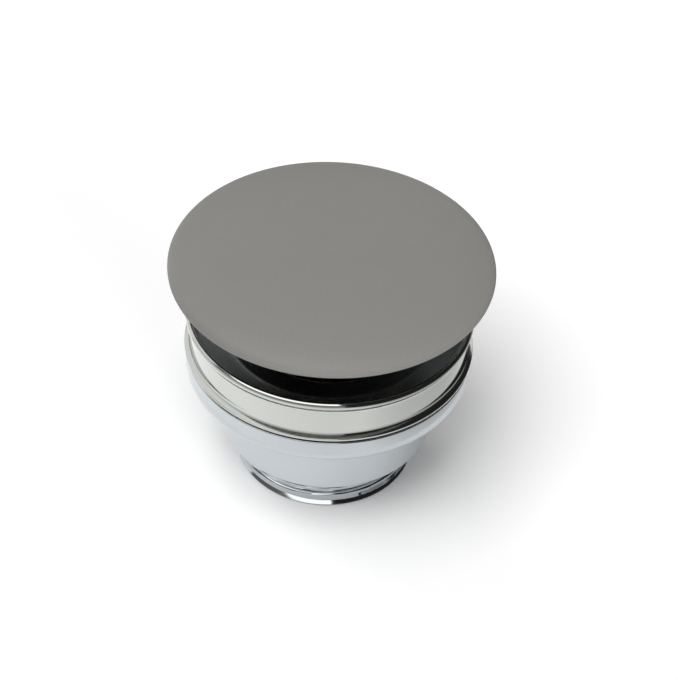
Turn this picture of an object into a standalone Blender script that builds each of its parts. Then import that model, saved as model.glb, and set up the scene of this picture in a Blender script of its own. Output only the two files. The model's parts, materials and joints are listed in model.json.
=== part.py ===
"""Push-to-open basin waste with a ceramic cover, standing on its threaded tail.

Metres, +Z up. The origin is the centre of the tail's end face.
"""
import math

import bmesh
import bpy
from mathutils import Matrix, Vector

for old_object in list(bpy.data.objects):
    bpy.data.objects.remove(old_object, do_unlink=True)

# Lower cup: threaded tail, round neck and shallow cup in one turning
TAIL_RADIUS = 0.02095
TAIL_WALL = 0.00315
TAIL_HEIGHT = 0.0106
TAIL_CHAMFER = 0.0007
NECK_WALL = 0.0041
NECK_HEIGHT = 0.0169
NECK_CHAMFER = 0.0006
NECK_LEDGE = 0.0016
CUP_INSET = 0.0002
CUP_WALL = 0.0022
CUP_WALL_HEIGHT = 0.0056
CUP_FLOOR = 0.0020
CUP_FILLET = 0.0012

# Upper flange: dish with a rolled rim, stem, and a spider that carries the cartridge
STEM_WALL = 0.0028
STEM_CHAMFER = 0.0006
FLANGE_HEIGHT = 0.0101
DISH_SHELF = 0.0056
DISH_SLOPE_WIDTH = 0.0072
DISH_DEPTH = 0.0069
DISH_MOUTH_DEPTH = 0.0017
DISH_FLOOR = 0.0020
DISH_LIP_FILLET = 0.0008
BAND_WALL = 0.0011
BAND_FILLET = 0.0010
RIM_PROUD = 0.0008
RIM_BEAD = 0.00075
RIM_TUCK = 0.0004
LIP_PROUD = 0.0012
LIP_THICKNESS = 0.0008
RECESS_LAND = 0.0021
HUB_WALL = 0.00175
HUB_HEIGHT = 0.0047
HUB_DROP = 0.0006
SPIDER_ARMS = 4
ARM_WIDTH = 0.0024
ARM_HEIGHT = 0.0038
WINDOW_COUNT = 4
WINDOW_WIDTH = 0.0095
WINDOW_HEIGHT = 0.0105
WINDOW_CORNER = 0.0018
WINDOW_TOP_GAP = 0.0022

# Gaskets
FLANGE_GASKET = 0.0006
FLANGE_GASKET_INSET = 0.0007
CUP_GASKET_INSET = 0.0003

# Cartridge: body with hexagonal head, held in the hub by a nut
BODY_WALL = 0.00105
BODY_LENGTH = 0.0268
HEAD_COVER = 0.00025
HEAD_HEIGHT = 0.0024
NUT_HEIGHT = 0.0030
HEX_CHAMFER_DEG = 22.0
O_RING_SECTION = 0.0005
BUSH_WALL = 0.0023
BUSH_HEIGHT = 0.0025
RETAINER_THICKNESS = 0.0006
RETAINER_DEPTH = 0.0006
RETAINER_WIDTH = 0.0014
RETAINER_GAP_DEG = 44.0
SEAT_FLANGE = 0.0010
SEAT_FLOOR = 0.0018
SEAT_WALL = 0.00115
SEAT_DRAIN_RADIUS = 0.0015

# Plunger: flatted rod, cam sleeve and the ring that its track turns
PLUG_TRAVEL = 0.0097
ROD_WALL = 0.00125
ROD_FLAT_DEPTH = 0.0007
ROD_STAND = 0.0008
SPIGOT_RADIUS = 0.0023
RIVET_OVERLAP = 0.0007
RIVET_HEIGHT = 0.0006
SLEEVE_WALL = 0.0023
SLEEVE_LENGTH = 0.0142
SLEEVE_CROWN = 0.0028
TRACK_WIDTH = 0.0020
TRACK_DEPTH = 0.0010
TRACK_FOOT = 0.0021
LATCH_DROP = 0.0015
STROKE_TURN_DEG = 45.0
LATCH_CYCLES = 2
TRACK_REST_SHARES = (0.13, 0.16, 0.20, 0.16, 0.13, 0.22)
LUG_RADIUS = 0.0007
LATCH_RING_WALL = 0.00135
LATCH_RING_HEIGHT = 0.0024

# Return spring
SPRING_WIRE = 0.0005
SPRING_TURNS = 8.5

# Plug: ceramic cover on a turned base with its seal, stud and lock nut
CAP_RADIUS = 0.0360
CAP_EDGE = 0.0014
CAP_CROWN = 0.0055
CAP_CROWN_POWER = 2.3
CAP_REST_GAP = 0.0009
CAP_RECESS_DEPTH = 0.0023
PAD_THICKNESS = 0.0005
PAD_BORE_GAP = 0.0033
BASE_PLATE = 0.0018
PLATE_OVERHANG = 0.0048
BASE_INSET = 0.0001
BASE_FOOT_LAND = 0.0016
BASE_CHAMFER = 0.0007
BASE_FLOOR_GAP = 0.0004
BASE_POCKET_GAP = 0.0005
GROOVE_DEPTH = 0.0014
SEAL_ROOT = 0.0014
SEAL_TIP_RADIUS = 0.00035
SEAL_SEAT_GAP = 0.00035
STUD_RADIUS = 0.00285
STUD_IN_ROD = 0.0075
STUD_CHAMFER = 0.0004
LOCK_NUT_FLATS = 0.0100
LOCK_NUT_HEIGHT = 0.0028

# Clearances: seated faces, grooves, running fits and threads shown plain
SEAT_GAP = 0.00025
GROOVE_GAP = 0.000125
RUN_GAP = 0.0003
THREAD_GAP = 0.0003

# Small broken edges, and how far a cutter runs past what it cuts
EDGE_BREAK = 0.0003
OVERRUN = 0.0010
MERGE_DISTANCE = 0.000001

# Facets round a full turn, and along rounded stretches
SIDES_LARGE = 44
SIDES_MEDIUM = 28
SIDES_SMALL = 20
SIDES_LUG = 12
ARC_STEPS = 3
CROWN_STEPS = 8
TRACK_STEPS = 3
SPRING_STEPS = 8
SMOOTH_ANGLE_DEG = 35.0

# Radii from the waterway outwards, wall by wall
waterway_radius = TAIL_RADIUS - TAIL_WALL
stem_radius = waterway_radius + STEM_WALL
neck_bore = stem_radius + THREAD_GAP
neck_radius = neck_bore + NECK_WALL
dish_floor_radius = waterway_radius + DISH_SHELF
dish_mouth_radius = dish_floor_radius + DISH_SLOPE_WIDTH
band_radius = dish_mouth_radius + BAND_WALL
rim_radius = band_radius + RIM_PROUD
lip_radius = band_radius + LIP_PROUD
recess_radius = band_radius - RECESS_LAND
flange_gasket_radius = lip_radius - FLANGE_GASKET_INSET
cup_radius = lip_radius - CUP_INSET

# Radii of plunger and cartridge, from the stud outwards
rod_radius = STUD_RADIUS + THREAD_GAP + ROD_WALL
rod_half_flat = rod_radius - ROD_FLAT_DEPTH
rivet_radius = SPIGOT_RADIUS + RIVET_OVERLAP
sleeve_bore = rivet_radius + RUN_GAP
sleeve_radius = sleeve_bore + SLEEVE_WALL
spring_radius = sleeve_bore - RUN_GAP - SPRING_WIRE
latch_ring_radius = sleeve_radius + RUN_GAP + LATCH_RING_WALL
latch_pocket_radius = latch_ring_radius + RUN_GAP
body_radius = latch_pocket_radius + BODY_WALL
bush_radius = rod_radius + RUN_GAP + BUSH_WALL
hub_bore = body_radius + THREAD_GAP
o_ring_radius = hub_bore + SEAT_GAP + O_RING_SECTION
o_ring_pocket_radius = o_ring_radius + O_RING_SECTION + RUN_GAP
hub_radius = o_ring_pocket_radius + HUB_WALL
hex_flats = 2 * (o_ring_pocket_radius + HEAD_COVER)
hex_corner_radius = hex_flats / math.sqrt(3)

# Radii of the plug
base_foot_radius = dish_floor_radius - BASE_INSET
base_body_radius = base_foot_radius - GROOVE_DEPTH
base_pocket_radius = hex_corner_radius + BASE_POCKET_GAP
plate_radius = base_body_radius + PLATE_OVERHANG
cap_recess_radius = plate_radius + RUN_GAP

# Heights up the axis, each from the piece that carries it
cup_foot_z = TAIL_HEIGHT + NECK_HEIGHT
cup_rim_z = cup_foot_z + CUP_WALL_HEIGHT
cup_floor_z = cup_foot_z + CUP_FLOOR
neck_ledge_z = TAIL_HEIGHT + NECK_LEDGE
flange_gasket_z = cup_rim_z + SEAT_GAP
lip_z = flange_gasket_z + FLANGE_GASKET + SEAT_GAP
rim_z = lip_z + FLANGE_HEIGHT
dish_floor_z = rim_z - DISH_DEPTH
recess_z = dish_floor_z - DISH_FLOOR
stem_foot_z = neck_ledge_z + RUN_GAP
hub_top_z = dish_floor_z - HUB_DROP
hub_foot_z = hub_top_z - HUB_HEIGHT
head_z = hub_top_z + SEAT_GAP
body_top_z = head_z + HEAD_HEIGHT
body_foot_z = head_z - BODY_LENGTH
retainer_z = body_top_z - RETAINER_DEPTH - RETAINER_THICKNESS
bush_z = retainer_z - SEAT_GAP - BUSH_HEIGHT
sleeve_top_z = bush_z - RUN_GAP
sleeve_foot_z = sleeve_top_z - SLEEVE_LENGTH
track_z = sleeve_foot_z + TRACK_FOOT
latch_pocket_z = track_z + LATCH_RING_HEIGHT / 2 + RUN_GAP
seat_rim_z = track_z - LATCH_RING_HEIGHT / 2 - RUN_GAP
seat_floor_z = body_foot_z - SEAT_GAP - SEAT_FLANGE + SEAT_FLOOR
rod_foot_z = sleeve_top_z + SEAT_GAP
rod_top_z = body_top_z + PLUG_TRAVEL + ROD_STAND
rivet_top_z = sleeve_top_z - SLEEVE_CROWN - SEAT_GAP
rivet_foot_z = rivet_top_z - RIVET_HEIGHT
lock_nut_z = rod_top_z + SEAT_GAP
lock_nut_top_z = lock_nut_z + LOCK_NUT_HEIGHT
pocket_top_z = lock_nut_top_z + SEAT_GAP
cap_foot_z = rim_z + PLUG_TRAVEL + CAP_REST_GAP
cap_recess_z = cap_foot_z + CAP_RECESS_DEPTH
pad_z = cap_recess_z - SEAT_GAP - PAD_THICKNESS
base_top_z = pad_z - SEAT_GAP
plate_foot_z = base_top_z - BASE_PLATE
base_foot_z = dish_floor_z + PLUG_TRAVEL + BASE_FLOOR_GAP
groove_foot_z = base_foot_z + BASE_FOOT_LAND
seal_foot_z = groove_foot_z + SEAT_GAP
seal_top_z = seal_foot_z + SEAL_ROOT

# The seal reaches the dish's slope when the plug is down
dish_slope = (DISH_DEPTH - DISH_MOUTH_DEPTH) / DISH_SLOPE_WIDTH
seal_above_floor = seal_foot_z - PLUG_TRAVEL - SEAL_SEAT_GAP - dish_floor_z
seal_radius = dish_floor_radius + seal_above_floor / dish_slope


def make_material(name, colour, roughness, metallic):
    """Principled material from a colour in display values."""
    material = bpy.data.materials.new(name)
    material.use_nodes = True
    linear = [((c + 0.055) / 1.055) ** 2.4 if c > 0.04045 else c / 12.92 for c in colour]
    shader = material.node_tree.nodes["Principled BSDF"]
    shader.inputs["Base Color"].default_value = (*linear, 1.0)
    shader.inputs["Roughness"].default_value = roughness
    shader.inputs["Metallic"].default_value = metallic
    material.diffuse_color = (*linear, 1.0)
    return material


grey_ceramic = make_material("matt_grey_ceramic", (0.55, 0.545, 0.53), 0.55, 0.0)
chrome_cool = make_material("cup_chrome", (0.78, 0.80, 0.81), 0.10, 1.0)
chrome_warm = make_material("flange_chrome", (0.82, 0.83, 0.81), 0.12, 1.0)
brass = make_material("turned_brass", (0.78, 0.65, 0.38), 0.30, 1.0)
steel = make_material("spring_steel", (0.62, 0.62, 0.62), 0.28, 1.0)
black_rubber = make_material("black_rubber", (0.06, 0.06, 0.06), 0.65, 0.0)
foam_pad = make_material("bonding_pad", (0.88, 0.88, 0.86), 0.80, 0.0)
white_acetal = make_material("white_acetal", (0.90, 0.90, 0.87), 0.40, 0.0)
black_acetal = make_material("black_acetal", (0.10, 0.10, 0.11), 0.40, 0.0)


def add_group(name):
    """Empty on the common axis, for the pieces that move together."""
    group = bpy.data.objects.new(name, None)
    bpy.context.collection.objects.link(group)
    return group


cup_group = add_group("cup_group")
gasket_group = add_group("gasket_group")
flange_group = add_group("flange_group")
plug_group = add_group("plug_group")
latch_group = add_group("latch_group")


def finish_mesh(name, bm, material, group):
    """Object from a bmesh, smooth on its round faces."""
    bmesh.ops.recalc_face_normals(bm, faces=bm.faces)
    mesh = bpy.data.meshes.new(name)
    bm.to_mesh(mesh)
    bm.free()
    mesh.shade_smooth()
    mesh.set_sharp_from_angle(angle=math.radians(SMOOTH_ANGLE_DEG))
    mesh.materials.append(material)
    piece = bpy.data.objects.new(name, mesh)
    piece.parent = group
    bpy.context.collection.objects.link(piece)
    return piece


def arc(centre_r, centre_z, radius, start_deg, end_deg, steps=ARC_STEPS):
    """Points of a round stretch of an outline, ends included."""
    turn = math.radians(end_deg - start_deg) / steps
    start = math.radians(start_deg)
    return [
        (centre_r + radius * math.cos(start + turn * i), centre_z + radius * math.sin(start + turn * i))
        for i in range(steps + 1)
    ]


def turned(name, outline, material, group, sides):
    """Outline of (radius, height) turned about Z, closed unless both its ends are on the axis."""
    bm = bmesh.new()
    points = [bm.verts.new((r, 0, z)) for r, z in outline]
    pairs = list(zip(points, points[1:]))
    if outline[0][0] > 0 or outline[-1][0] > 0:
        pairs.append((points[-1], points[0]))
    edges = [bm.edges.new(pair) for pair in pairs]
    bmesh.ops.spin(
        bm, geom=points + edges, cent=(0, 0, 0), axis=(0, 0, 1),
        angle=2 * math.pi, steps=sides, use_merge=True,
    )
    bmesh.ops.remove_doubles(bm, verts=bm.verts, dist=MERGE_DISTANCE)
    bmesh.ops.dissolve_degenerate(bm, edges=bm.edges, dist=MERGE_DISTANCE)
    return finish_mesh(name, bm, material, group)


def prism(name, outline, foot_z, top_z, material, group):
    """Flat outline of (x, y) raised from foot to top."""
    bm = bmesh.new()
    floor = bm.faces.new([bm.verts.new((x, y, foot_z)) for x, y in outline])
    raised = bmesh.ops.extrude_face_region(bm, geom=[floor])
    corners = [v for v in raised["geom"] if isinstance(v, bmesh.types.BMVert)]
    bmesh.ops.translate(bm, verts=corners, vec=(0, 0, top_z - foot_z))
    return finish_mesh(name, bm, material, group)


def hexagon(across_flats):
    """Corners of a hexagon with two flats square to X."""
    corner = across_flats / math.sqrt(3)
    return [
        (corner * math.cos(math.radians(30 + 60 * i)), corner * math.sin(math.radians(30 + 60 * i)))
        for i in range(6)
    ]


def double_d(radius, half_flat):
    """Circle with two flats square to Y."""
    reach = math.degrees(math.asin(half_flat / radius))
    right = arc(0, 0, radius, -reach, reach, 2 * ARC_STEPS)
    left = arc(0, 0, radius, 180 - reach, 180 + reach, 2 * ARC_STEPS)
    return right + left


def block(name, size, centre, corner, material, group):
    """Box with rounded edges along X, for slots and arms."""
    bm = bmesh.new()
    bmesh.ops.create_cube(bm, size=1, matrix=Matrix.Diagonal((*size, 1)))
    if corner:
        long_edges = [e for e in bm.edges if abs((e.verts[0].co - e.verts[1].co).normalized().x) > 0.9]
        bmesh.ops.bevel(
            bm, geom=long_edges, offset=corner, segments=ARC_STEPS, profile=0.5, affect="EDGES", material=-1,
        )
    bmesh.ops.translate(bm, verts=bm.verts, vec=centre)
    return finish_mesh(name, bm, material, group)


def boolean(target, tool, operation):
    """Cut, join or trim the target with a tool that stays hidden."""
    step = target.modifiers.new(f"{operation.lower()}_{tool.name}", "BOOLEAN")
    step.operation = operation
    step.solver = "EXACT"
    step.object = tool
    tool.hide_render = True
    tool.display_type = "WIRE"


def round_hole(target, radius, foot_z, top_z, sides):
    """Hole on the axis from foot to top."""
    tool = turned(
        f"{target.name}_hole_{len(target.modifiers)}",
        [(0, foot_z), (radius, foot_z), (radius, top_z), (0, top_z)],
        target.active_material, target.parent, sides,
    )
    boolean(target, tool, "DIFFERENCE")


def hexagon_piece(name, across_flats, foot_z, top_z, material, group):
    """Hexagon whose corners are turned back to its flats at both ends."""
    piece = prism(name, hexagon(across_flats), foot_z, top_z, material, group)
    flat = across_flats / 2
    wide = across_flats / math.sqrt(3) + OVERRUN
    rise = (wide - flat) * math.tan(math.radians(HEX_CHAMFER_DEG))
    outline = [
        (0, foot_z - OVERRUN),
        (flat, foot_z - OVERRUN),
        (flat, foot_z),
        (wide, foot_z + rise),
        (wide, top_z - rise),
        (flat, top_z),
        (flat, top_z + OVERRUN),
        (0, top_z + OVERRUN),
    ]
    tool = turned(f"{name}_corners", outline, material, group, SIDES_MEDIUM)
    boolean(piece, tool, "INTERSECT")
    return piece


def lower_cup():
    """Tail, neck and cup, open right through."""
    cavity = cup_radius - CUP_WALL
    outline = [
        (waterway_radius, 0),
        (TAIL_RADIUS - TAIL_CHAMFER, 0),
        (TAIL_RADIUS, TAIL_CHAMFER),
        (TAIL_RADIUS, TAIL_HEIGHT),
        (neck_radius - NECK_CHAMFER, TAIL_HEIGHT),
        (neck_radius, TAIL_HEIGHT + NECK_CHAMFER),
        *arc(neck_radius + CUP_FILLET, cup_foot_z - CUP_FILLET, CUP_FILLET, 180, 90),
        (cup_radius - EDGE_BREAK, cup_foot_z),
        (cup_radius, cup_foot_z + EDGE_BREAK),
        (cup_radius, cup_rim_z - EDGE_BREAK),
        (cup_radius - EDGE_BREAK, cup_rim_z),
        (cavity, cup_rim_z),
        (cavity, cup_floor_z),
        (neck_bore + NECK_CHAMFER, cup_floor_z),
        (neck_bore, cup_floor_z - NECK_CHAMFER),
        (neck_bore, neck_ledge_z),
        (waterway_radius, neck_ledge_z),
    ]
    turned("lower_cup", outline, chrome_cool, cup_group, SIDES_LARGE)


def cup_gasket():
    """Thick rubber ring that lies in the cup and presses on the basin from below."""
    inner = neck_bore + RUN_GAP
    outer = cup_radius - CUP_WALL - RUN_GAP
    foot = cup_floor_z + SEAT_GAP
    top = cup_rim_z - CUP_GASKET_INSET
    outline = [
        (inner, foot),
        (outer, foot),
        (outer, top - EDGE_BREAK),
        (outer - EDGE_BREAK, top),
        (inner + EDGE_BREAK, top),
        (inner, top - EDGE_BREAK),
    ]
    turned("cup_gasket", outline, black_rubber, cup_group, SIDES_LARGE)


def flange_gasket():
    """Black washer under the flange, thicker where it fills the recess."""
    inner = stem_radius + RUN_GAP
    thick = recess_radius - RUN_GAP
    thin_top = flange_gasket_z + FLANGE_GASKET
    outline = [
        (inner, flange_gasket_z),
        (flange_gasket_radius, flange_gasket_z),
        (flange_gasket_radius, thin_top),
        (thick, thin_top),
        (thick, recess_z - SEAT_GAP),
        (inner, recess_z - SEAT_GAP),
    ]
    turned("flange_gasket", outline, black_rubber, gasket_group, SIDES_LARGE)


def upper_flange():
    """Dish with its rolled rim, stem with overflow windows, and spider with hub."""
    bead_r = rim_radius - RIM_BEAD
    bead_z = rim_z - RIM_BEAD
    fillet_r = band_radius + BAND_FILLET
    fillet_z = lip_z + LIP_THICKNESS + BAND_FILLET
    outline = [
        *arc(bead_r, bead_z, RIM_BEAD, 150, -55, 2 * ARC_STEPS),
        (band_radius, bead_z - RIM_BEAD - RIM_TUCK),
        *arc(fillet_r, fillet_z, BAND_FILLET, 180, 270),
        (lip_radius, lip_z + LIP_THICKNESS - EDGE_BREAK),
        (lip_radius, lip_z),
        (recess_radius, lip_z),
        (recess_radius, recess_z),
        (stem_radius, recess_z),
        (stem_radius, stem_foot_z + STEM_CHAMFER),
        (stem_radius - STEM_CHAMFER, stem_foot_z),
        (waterway_radius, stem_foot_z),
        *arc(waterway_radius + DISH_LIP_FILLET, dish_floor_z - DISH_LIP_FILLET, DISH_LIP_FILLET, 180, 90),
        (dish_floor_radius, dish_floor_z),
        (dish_mouth_radius, rim_z - DISH_MOUTH_DEPTH),
    ]
    flange = turned("upper_flange", outline, chrome_warm, flange_group, SIDES_LARGE)

    windows_z = recess_z - WINDOW_TOP_GAP - WINDOW_HEIGHT / 2
    wall_middle = (stem_radius + waterway_radius) / 2
    wall_depth = STEM_WALL + 2 * OVERRUN
    for i in range(WINDOW_COUNT):
        window = block(
            f"overflow_window_{i + 1}", (wall_depth, WINDOW_WIDTH, WINDOW_HEIGHT),
            (wall_middle, 0, windows_z), WINDOW_CORNER, chrome_warm, flange_group,
        )
        window.rotation_euler.z = 2 * math.pi * i / WINDOW_COUNT
        boolean(flange, window, "DIFFERENCE")

    pocket_z = hub_top_z - 2 * O_RING_SECTION - GROOVE_GAP
    hub_outline = [
        (hub_bore, hub_foot_z),
        (hub_radius, hub_foot_z),
        (hub_radius, hub_top_z - EDGE_BREAK),
        (hub_radius - EDGE_BREAK, hub_top_z),
        (o_ring_pocket_radius, hub_top_z),
        (o_ring_pocket_radius, pocket_z),
        (hub_bore, pocket_z),
    ]
    hub = turned("spider_hub", hub_outline, chrome_warm, flange_group, SIDES_MEDIUM)
    arm_start = (hub_radius + o_ring_pocket_radius) / 2
    arm_length = wall_middle - arm_start
    for i in range(SPIDER_ARMS):
        arm = block(
            f"spider_arm_{i + 1}", (arm_length, ARM_WIDTH, ARM_HEIGHT),
            (arm_start + arm_length / 2, 0, hub_foot_z + ARM_HEIGHT / 2 + EDGE_BREAK), EDGE_BREAK,
            chrome_warm, flange_group,
        )
        arm.rotation_euler.z = 2 * math.pi * (i + 0.5) / SPIDER_ARMS
        boolean(flange, arm, "UNION")
    boolean(flange, hub, "UNION")


def cartridge_body():
    """Threaded barrel with a hexagonal head, bored for bush, sleeve and latch ring."""
    body = hexagon_piece("cartridge_body", hex_flats, head_z, body_top_z, brass, flange_group)
    head_middle_z = (head_z + body_top_z) / 2
    barrel_outline = [
        (0, body_foot_z),
        (body_radius - STUD_CHAMFER, body_foot_z),
        (body_radius, body_foot_z + STUD_CHAMFER),
        (body_radius, head_middle_z),
        (0, head_middle_z),
    ]
    barrel = turned("cartridge_barrel", barrel_outline, brass, flange_group, SIDES_MEDIUM)
    boolean(body, barrel, "UNION")
    bush_bore = bush_radius + SEAT_GAP
    sleeve_run = sleeve_radius + RUN_GAP
    groove_radius = bush_bore + RETAINER_WIDTH / 2
    bush_ledge_z = bush_z - SEAT_GAP
    groove_foot = retainer_z - GROOVE_GAP
    groove_top = retainer_z + RETAINER_THICKNESS + GROOVE_GAP
    bore_outline = [
        (0, body_foot_z - OVERRUN),
        (latch_pocket_radius, body_foot_z - OVERRUN),
        (latch_pocket_radius, latch_pocket_z),
        (sleeve_run, latch_pocket_z),
        (sleeve_run, bush_ledge_z),
        (bush_bore, bush_ledge_z),
        (bush_bore, groove_foot),
        (groove_radius, groove_foot),
        (groove_radius, groove_top),
        (bush_bore, groove_top),
        (bush_bore, body_top_z + OVERRUN),
        (0, body_top_z + OVERRUN),
    ]
    bore = turned("cartridge_bore", bore_outline, brass, flange_group, SIDES_MEDIUM)
    boolean(body, bore, "DIFFERENCE")


def cartridge_nut():
    """Thin nut that clamps the cartridge under the hub."""
    top = hub_foot_z - SEAT_GAP
    foot = top - NUT_HEIGHT
    nut = hexagon_piece("cartridge_nut", hex_flats, foot, top, brass, flange_group)
    round_hole(nut, hub_bore, foot - OVERRUN, top + OVERRUN, SIDES_MEDIUM)


def cartridge_o_ring():
    """Ring that seals the cartridge's head on the hub."""
    centre_z = hub_top_z - O_RING_SECTION
    outline = arc(o_ring_radius, centre_z, O_RING_SECTION, 0, 360, 2 * ARC_STEPS)[1:]
    turned("cartridge_o_ring", outline, black_rubber, flange_group, SIDES_SMALL)


def guide_bush():
    """Bush with a flatted hole, which keeps the rod from turning and is the plug's upper stop."""
    outline = [
        (0, bush_z),
        (bush_radius, bush_z),
        (bush_radius, bush_z + BUSH_HEIGHT),
        (0, bush_z + BUSH_HEIGHT),
    ]
    bush = turned("guide_bush", outline, white_acetal, flange_group, SIDES_MEDIUM)
    tool = prism(
        "guide_bush_hole", double_d(rod_radius + RUN_GAP, rod_half_flat + RUN_GAP),
        bush_z - OVERRUN, bush_z + BUSH_HEIGHT + OVERRUN, white_acetal, flange_group,
    )
    boolean(bush, tool, "DIFFERENCE")


def retaining_ring():
    """Open spring ring in the groove above the bush."""
    outer = bush_radius + RETAINER_WIDTH / 2
    inner = outer - RETAINER_WIDTH
    outline = [
        (inner, retainer_z),
        (outer, retainer_z),
        (outer, retainer_z + RETAINER_THICKNESS),
        (inner, retainer_z + RETAINER_THICKNESS),
    ]
    ring = turned("retaining_ring", outline, steel, flange_group, SIDES_MEDIUM)
    half_gap = math.radians(RETAINER_GAP_DEG / 2)
    reach = outer + OVERRUN
    wedge = [(0, 0), (reach, -reach * math.tan(half_gap)), (reach, reach * math.tan(half_gap))]
    tool = prism(
        "retaining_ring_gap", wedge, retainer_z - OVERRUN,
        retainer_z + RETAINER_THICKNESS + OVERRUN, steel, flange_group,
    )
    boolean(ring, tool, "DIFFERENCE")


def spring_seat():
    """Cup that closes the cartridge from below, holds the latch ring up and bears the spring."""
    outer = latch_pocket_radius - RUN_GAP
    inner = outer - SEAT_WALL
    flange_top = body_foot_z - SEAT_GAP
    flange_foot = flange_top - SEAT_FLANGE
    outline = [
        (SEAT_DRAIN_RADIUS, flange_foot),
        (body_radius, flange_foot),
        (body_radius, flange_top),
        (outer, flange_top),
        (outer, seat_rim_z),
        (inner, seat_rim_z),
        (inner, seat_floor_z),
        (SEAT_DRAIN_RADIUS, seat_floor_z),
    ]
    turned("spring_seat", outline, white_acetal, flange_group, SIDES_MEDIUM)


def plunger_spring():
    """Compression spring between the seat and the rod's rivet head, one unbroken wire."""
    foot = seat_floor_z + SEAT_GAP + SPRING_WIRE
    top = rivet_foot_z - SEAT_GAP - SPRING_WIRE
    count = int(SPRING_TURNS * SPRING_STEPS)
    curve = bpy.data.curves.new("plunger_spring", "CURVE")
    curve.dimensions = "3D"
    curve.bevel_depth = SPRING_WIRE
    curve.bevel_resolution = 1
    curve.use_fill_caps = True
    wire = curve.splines.new("POLY")
    wire.points.add(count)
    line = []
    for i, point in enumerate(wire.points):
        turn = 2 * math.pi * i / SPRING_STEPS
        height = foot + (top - foot) * i / count
        line.append(Vector((spring_radius * math.cos(turn), spring_radius * math.sin(turn), height)))
        point.co = (*line[-1], 1)
    curve.materials.append(steel)
    spring = bpy.data.objects.new("plunger_spring", curve)
    spring.parent = flange_group
    bpy.context.collection.objects.link(spring)
    half_turn = SPRING_STEPS // 2
    least = min((b - a).length for i, a in enumerate(line) for b in line[i + half_turn:])
    print(f"spring: least gap of the wire to itself {1000 * (least - 2 * SPRING_WIRE):.2f} mm")


def track_corners():
    """Centre line of the zigzag track, unrolled: (turn in degrees, height) at each corner."""
    rest = 360 / LATCH_CYCLES - 2 * STROKE_TURN_DEG
    top, fall, valley, climb, second_top, foot = (rest * share for share in TRACK_REST_SHARES)
    steps = [
        (STROKE_TURN_DEG, PLUG_TRAVEL),
        (top, 0),
        (fall, -LATCH_DROP),
        (valley, 0),
        (climb, LATCH_DROP),
        (second_top, 0),
        (STROKE_TURN_DEG, -PLUG_TRAVEL),
        (foot, 0),
    ]
    corners = []
    turn = 0.0
    height = track_z
    for _ in range(LATCH_CYCLES):
        for turn_step, height_step in steps:
            corners.append((turn, height))
            turn += turn_step
            height += height_step
    return corners


def track_tool():
    """Closed ribbon round the sleeve that mills the zigzag track."""
    floor_radius = sleeve_radius - TRACK_DEPTH
    lap = 2 * math.pi * sleeve_radius
    centre = [Vector((sleeve_radius * math.radians(turn), height)) for turn, height in track_corners()]
    count = len(centre)

    def place(i):
        """Corner i, carried on past the first lap."""
        return centre[i % count] + Vector((lap * (i // count), 0))

    edges = []
    for i in range(count + 1):
        before = (place(i) - place(i - 1)).normalized()
        after = (place(i + 1) - place(i)).normalized()
        side = Vector((-before.y - after.y, before.x + after.x)).normalized()
        reach = TRACK_WIDTH / 2 / side.dot(Vector((-after.y, after.x)))
        edges.append((place(i) - side * reach, place(i) + side * reach))

    bm = bmesh.new()
    rings = []
    for start, end in zip(edges, edges[1:]):
        for k in range(TRACK_STEPS):
            low = start[0].lerp(end[0], k / TRACK_STEPS)
            high = start[1].lerp(end[1], k / TRACK_STEPS)
            ring = []
            for point, radius in (
                (low, floor_radius), (low, sleeve_radius + OVERRUN),
                (high, sleeve_radius + OVERRUN), (high, floor_radius),
            ):
                turn = point.x / sleeve_radius
                ring.append(bm.verts.new((radius * math.cos(turn), radius * math.sin(turn), point.y)))
            rings.append(ring)
    for ring, following in zip(rings, rings[1:] + rings[:1]):
        for i in range(4):
            bm.faces.new((ring[i], ring[i - 1], following[i - 1], following[i]))
    return finish_mesh("cam_track", bm, white_acetal, plug_group)


def cam_sleeve():
    """Moulded sleeve on the rod, with the zigzag track that latches the plug."""
    outline = [
        (sleeve_bore, sleeve_foot_z),
        (sleeve_radius, sleeve_foot_z),
        (sleeve_radius, sleeve_top_z),
        (SPIGOT_RADIUS + SEAT_GAP, sleeve_top_z),
        (SPIGOT_RADIUS + SEAT_GAP, sleeve_top_z - SLEEVE_CROWN),
        (sleeve_bore, sleeve_top_z - SLEEVE_CROWN),
    ]
    sleeve = turned("cam_sleeve", outline, white_acetal, plug_group, SIDES_MEDIUM)
    boolean(sleeve, track_tool(), "DIFFERENCE")


def latch_ring():
    """Ring with inward lugs that the track turns a step at each push."""
    inner = sleeve_radius + RUN_GAP
    foot = track_z - LATCH_RING_HEIGHT / 2
    top = track_z + LATCH_RING_HEIGHT / 2
    ring = turned(
        "latch_ring", [(inner, foot), (latch_ring_radius, foot), (latch_ring_radius, top), (inner, top)],
        black_acetal, latch_group, SIDES_MEDIUM,
    )
    lug_tip = sleeve_radius - TRACK_DEPTH + RUN_GAP
    lug_root = (inner + latch_ring_radius) / 2
    for i in range(LATCH_CYCLES):
        bm = bmesh.new()
        bmesh.ops.create_cone(
            bm, cap_ends=True, segments=SIDES_LUG, radius1=LUG_RADIUS, radius2=LUG_RADIUS,
            depth=lug_root - lug_tip, matrix=Matrix.Rotation(math.pi / 2, 4, "Y"),
        )
        bmesh.ops.translate(bm, verts=bm.verts, vec=((lug_root + lug_tip) / 2, 0, 0))
        lug = finish_mesh(f"latch_lug_{i + 1}", bm, black_acetal, latch_group)
        lug.location.z = track_z
        lug.rotation_euler.z = 2 * math.pi * i / LATCH_CYCLES
        boolean(ring, lug, "UNION")


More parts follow.
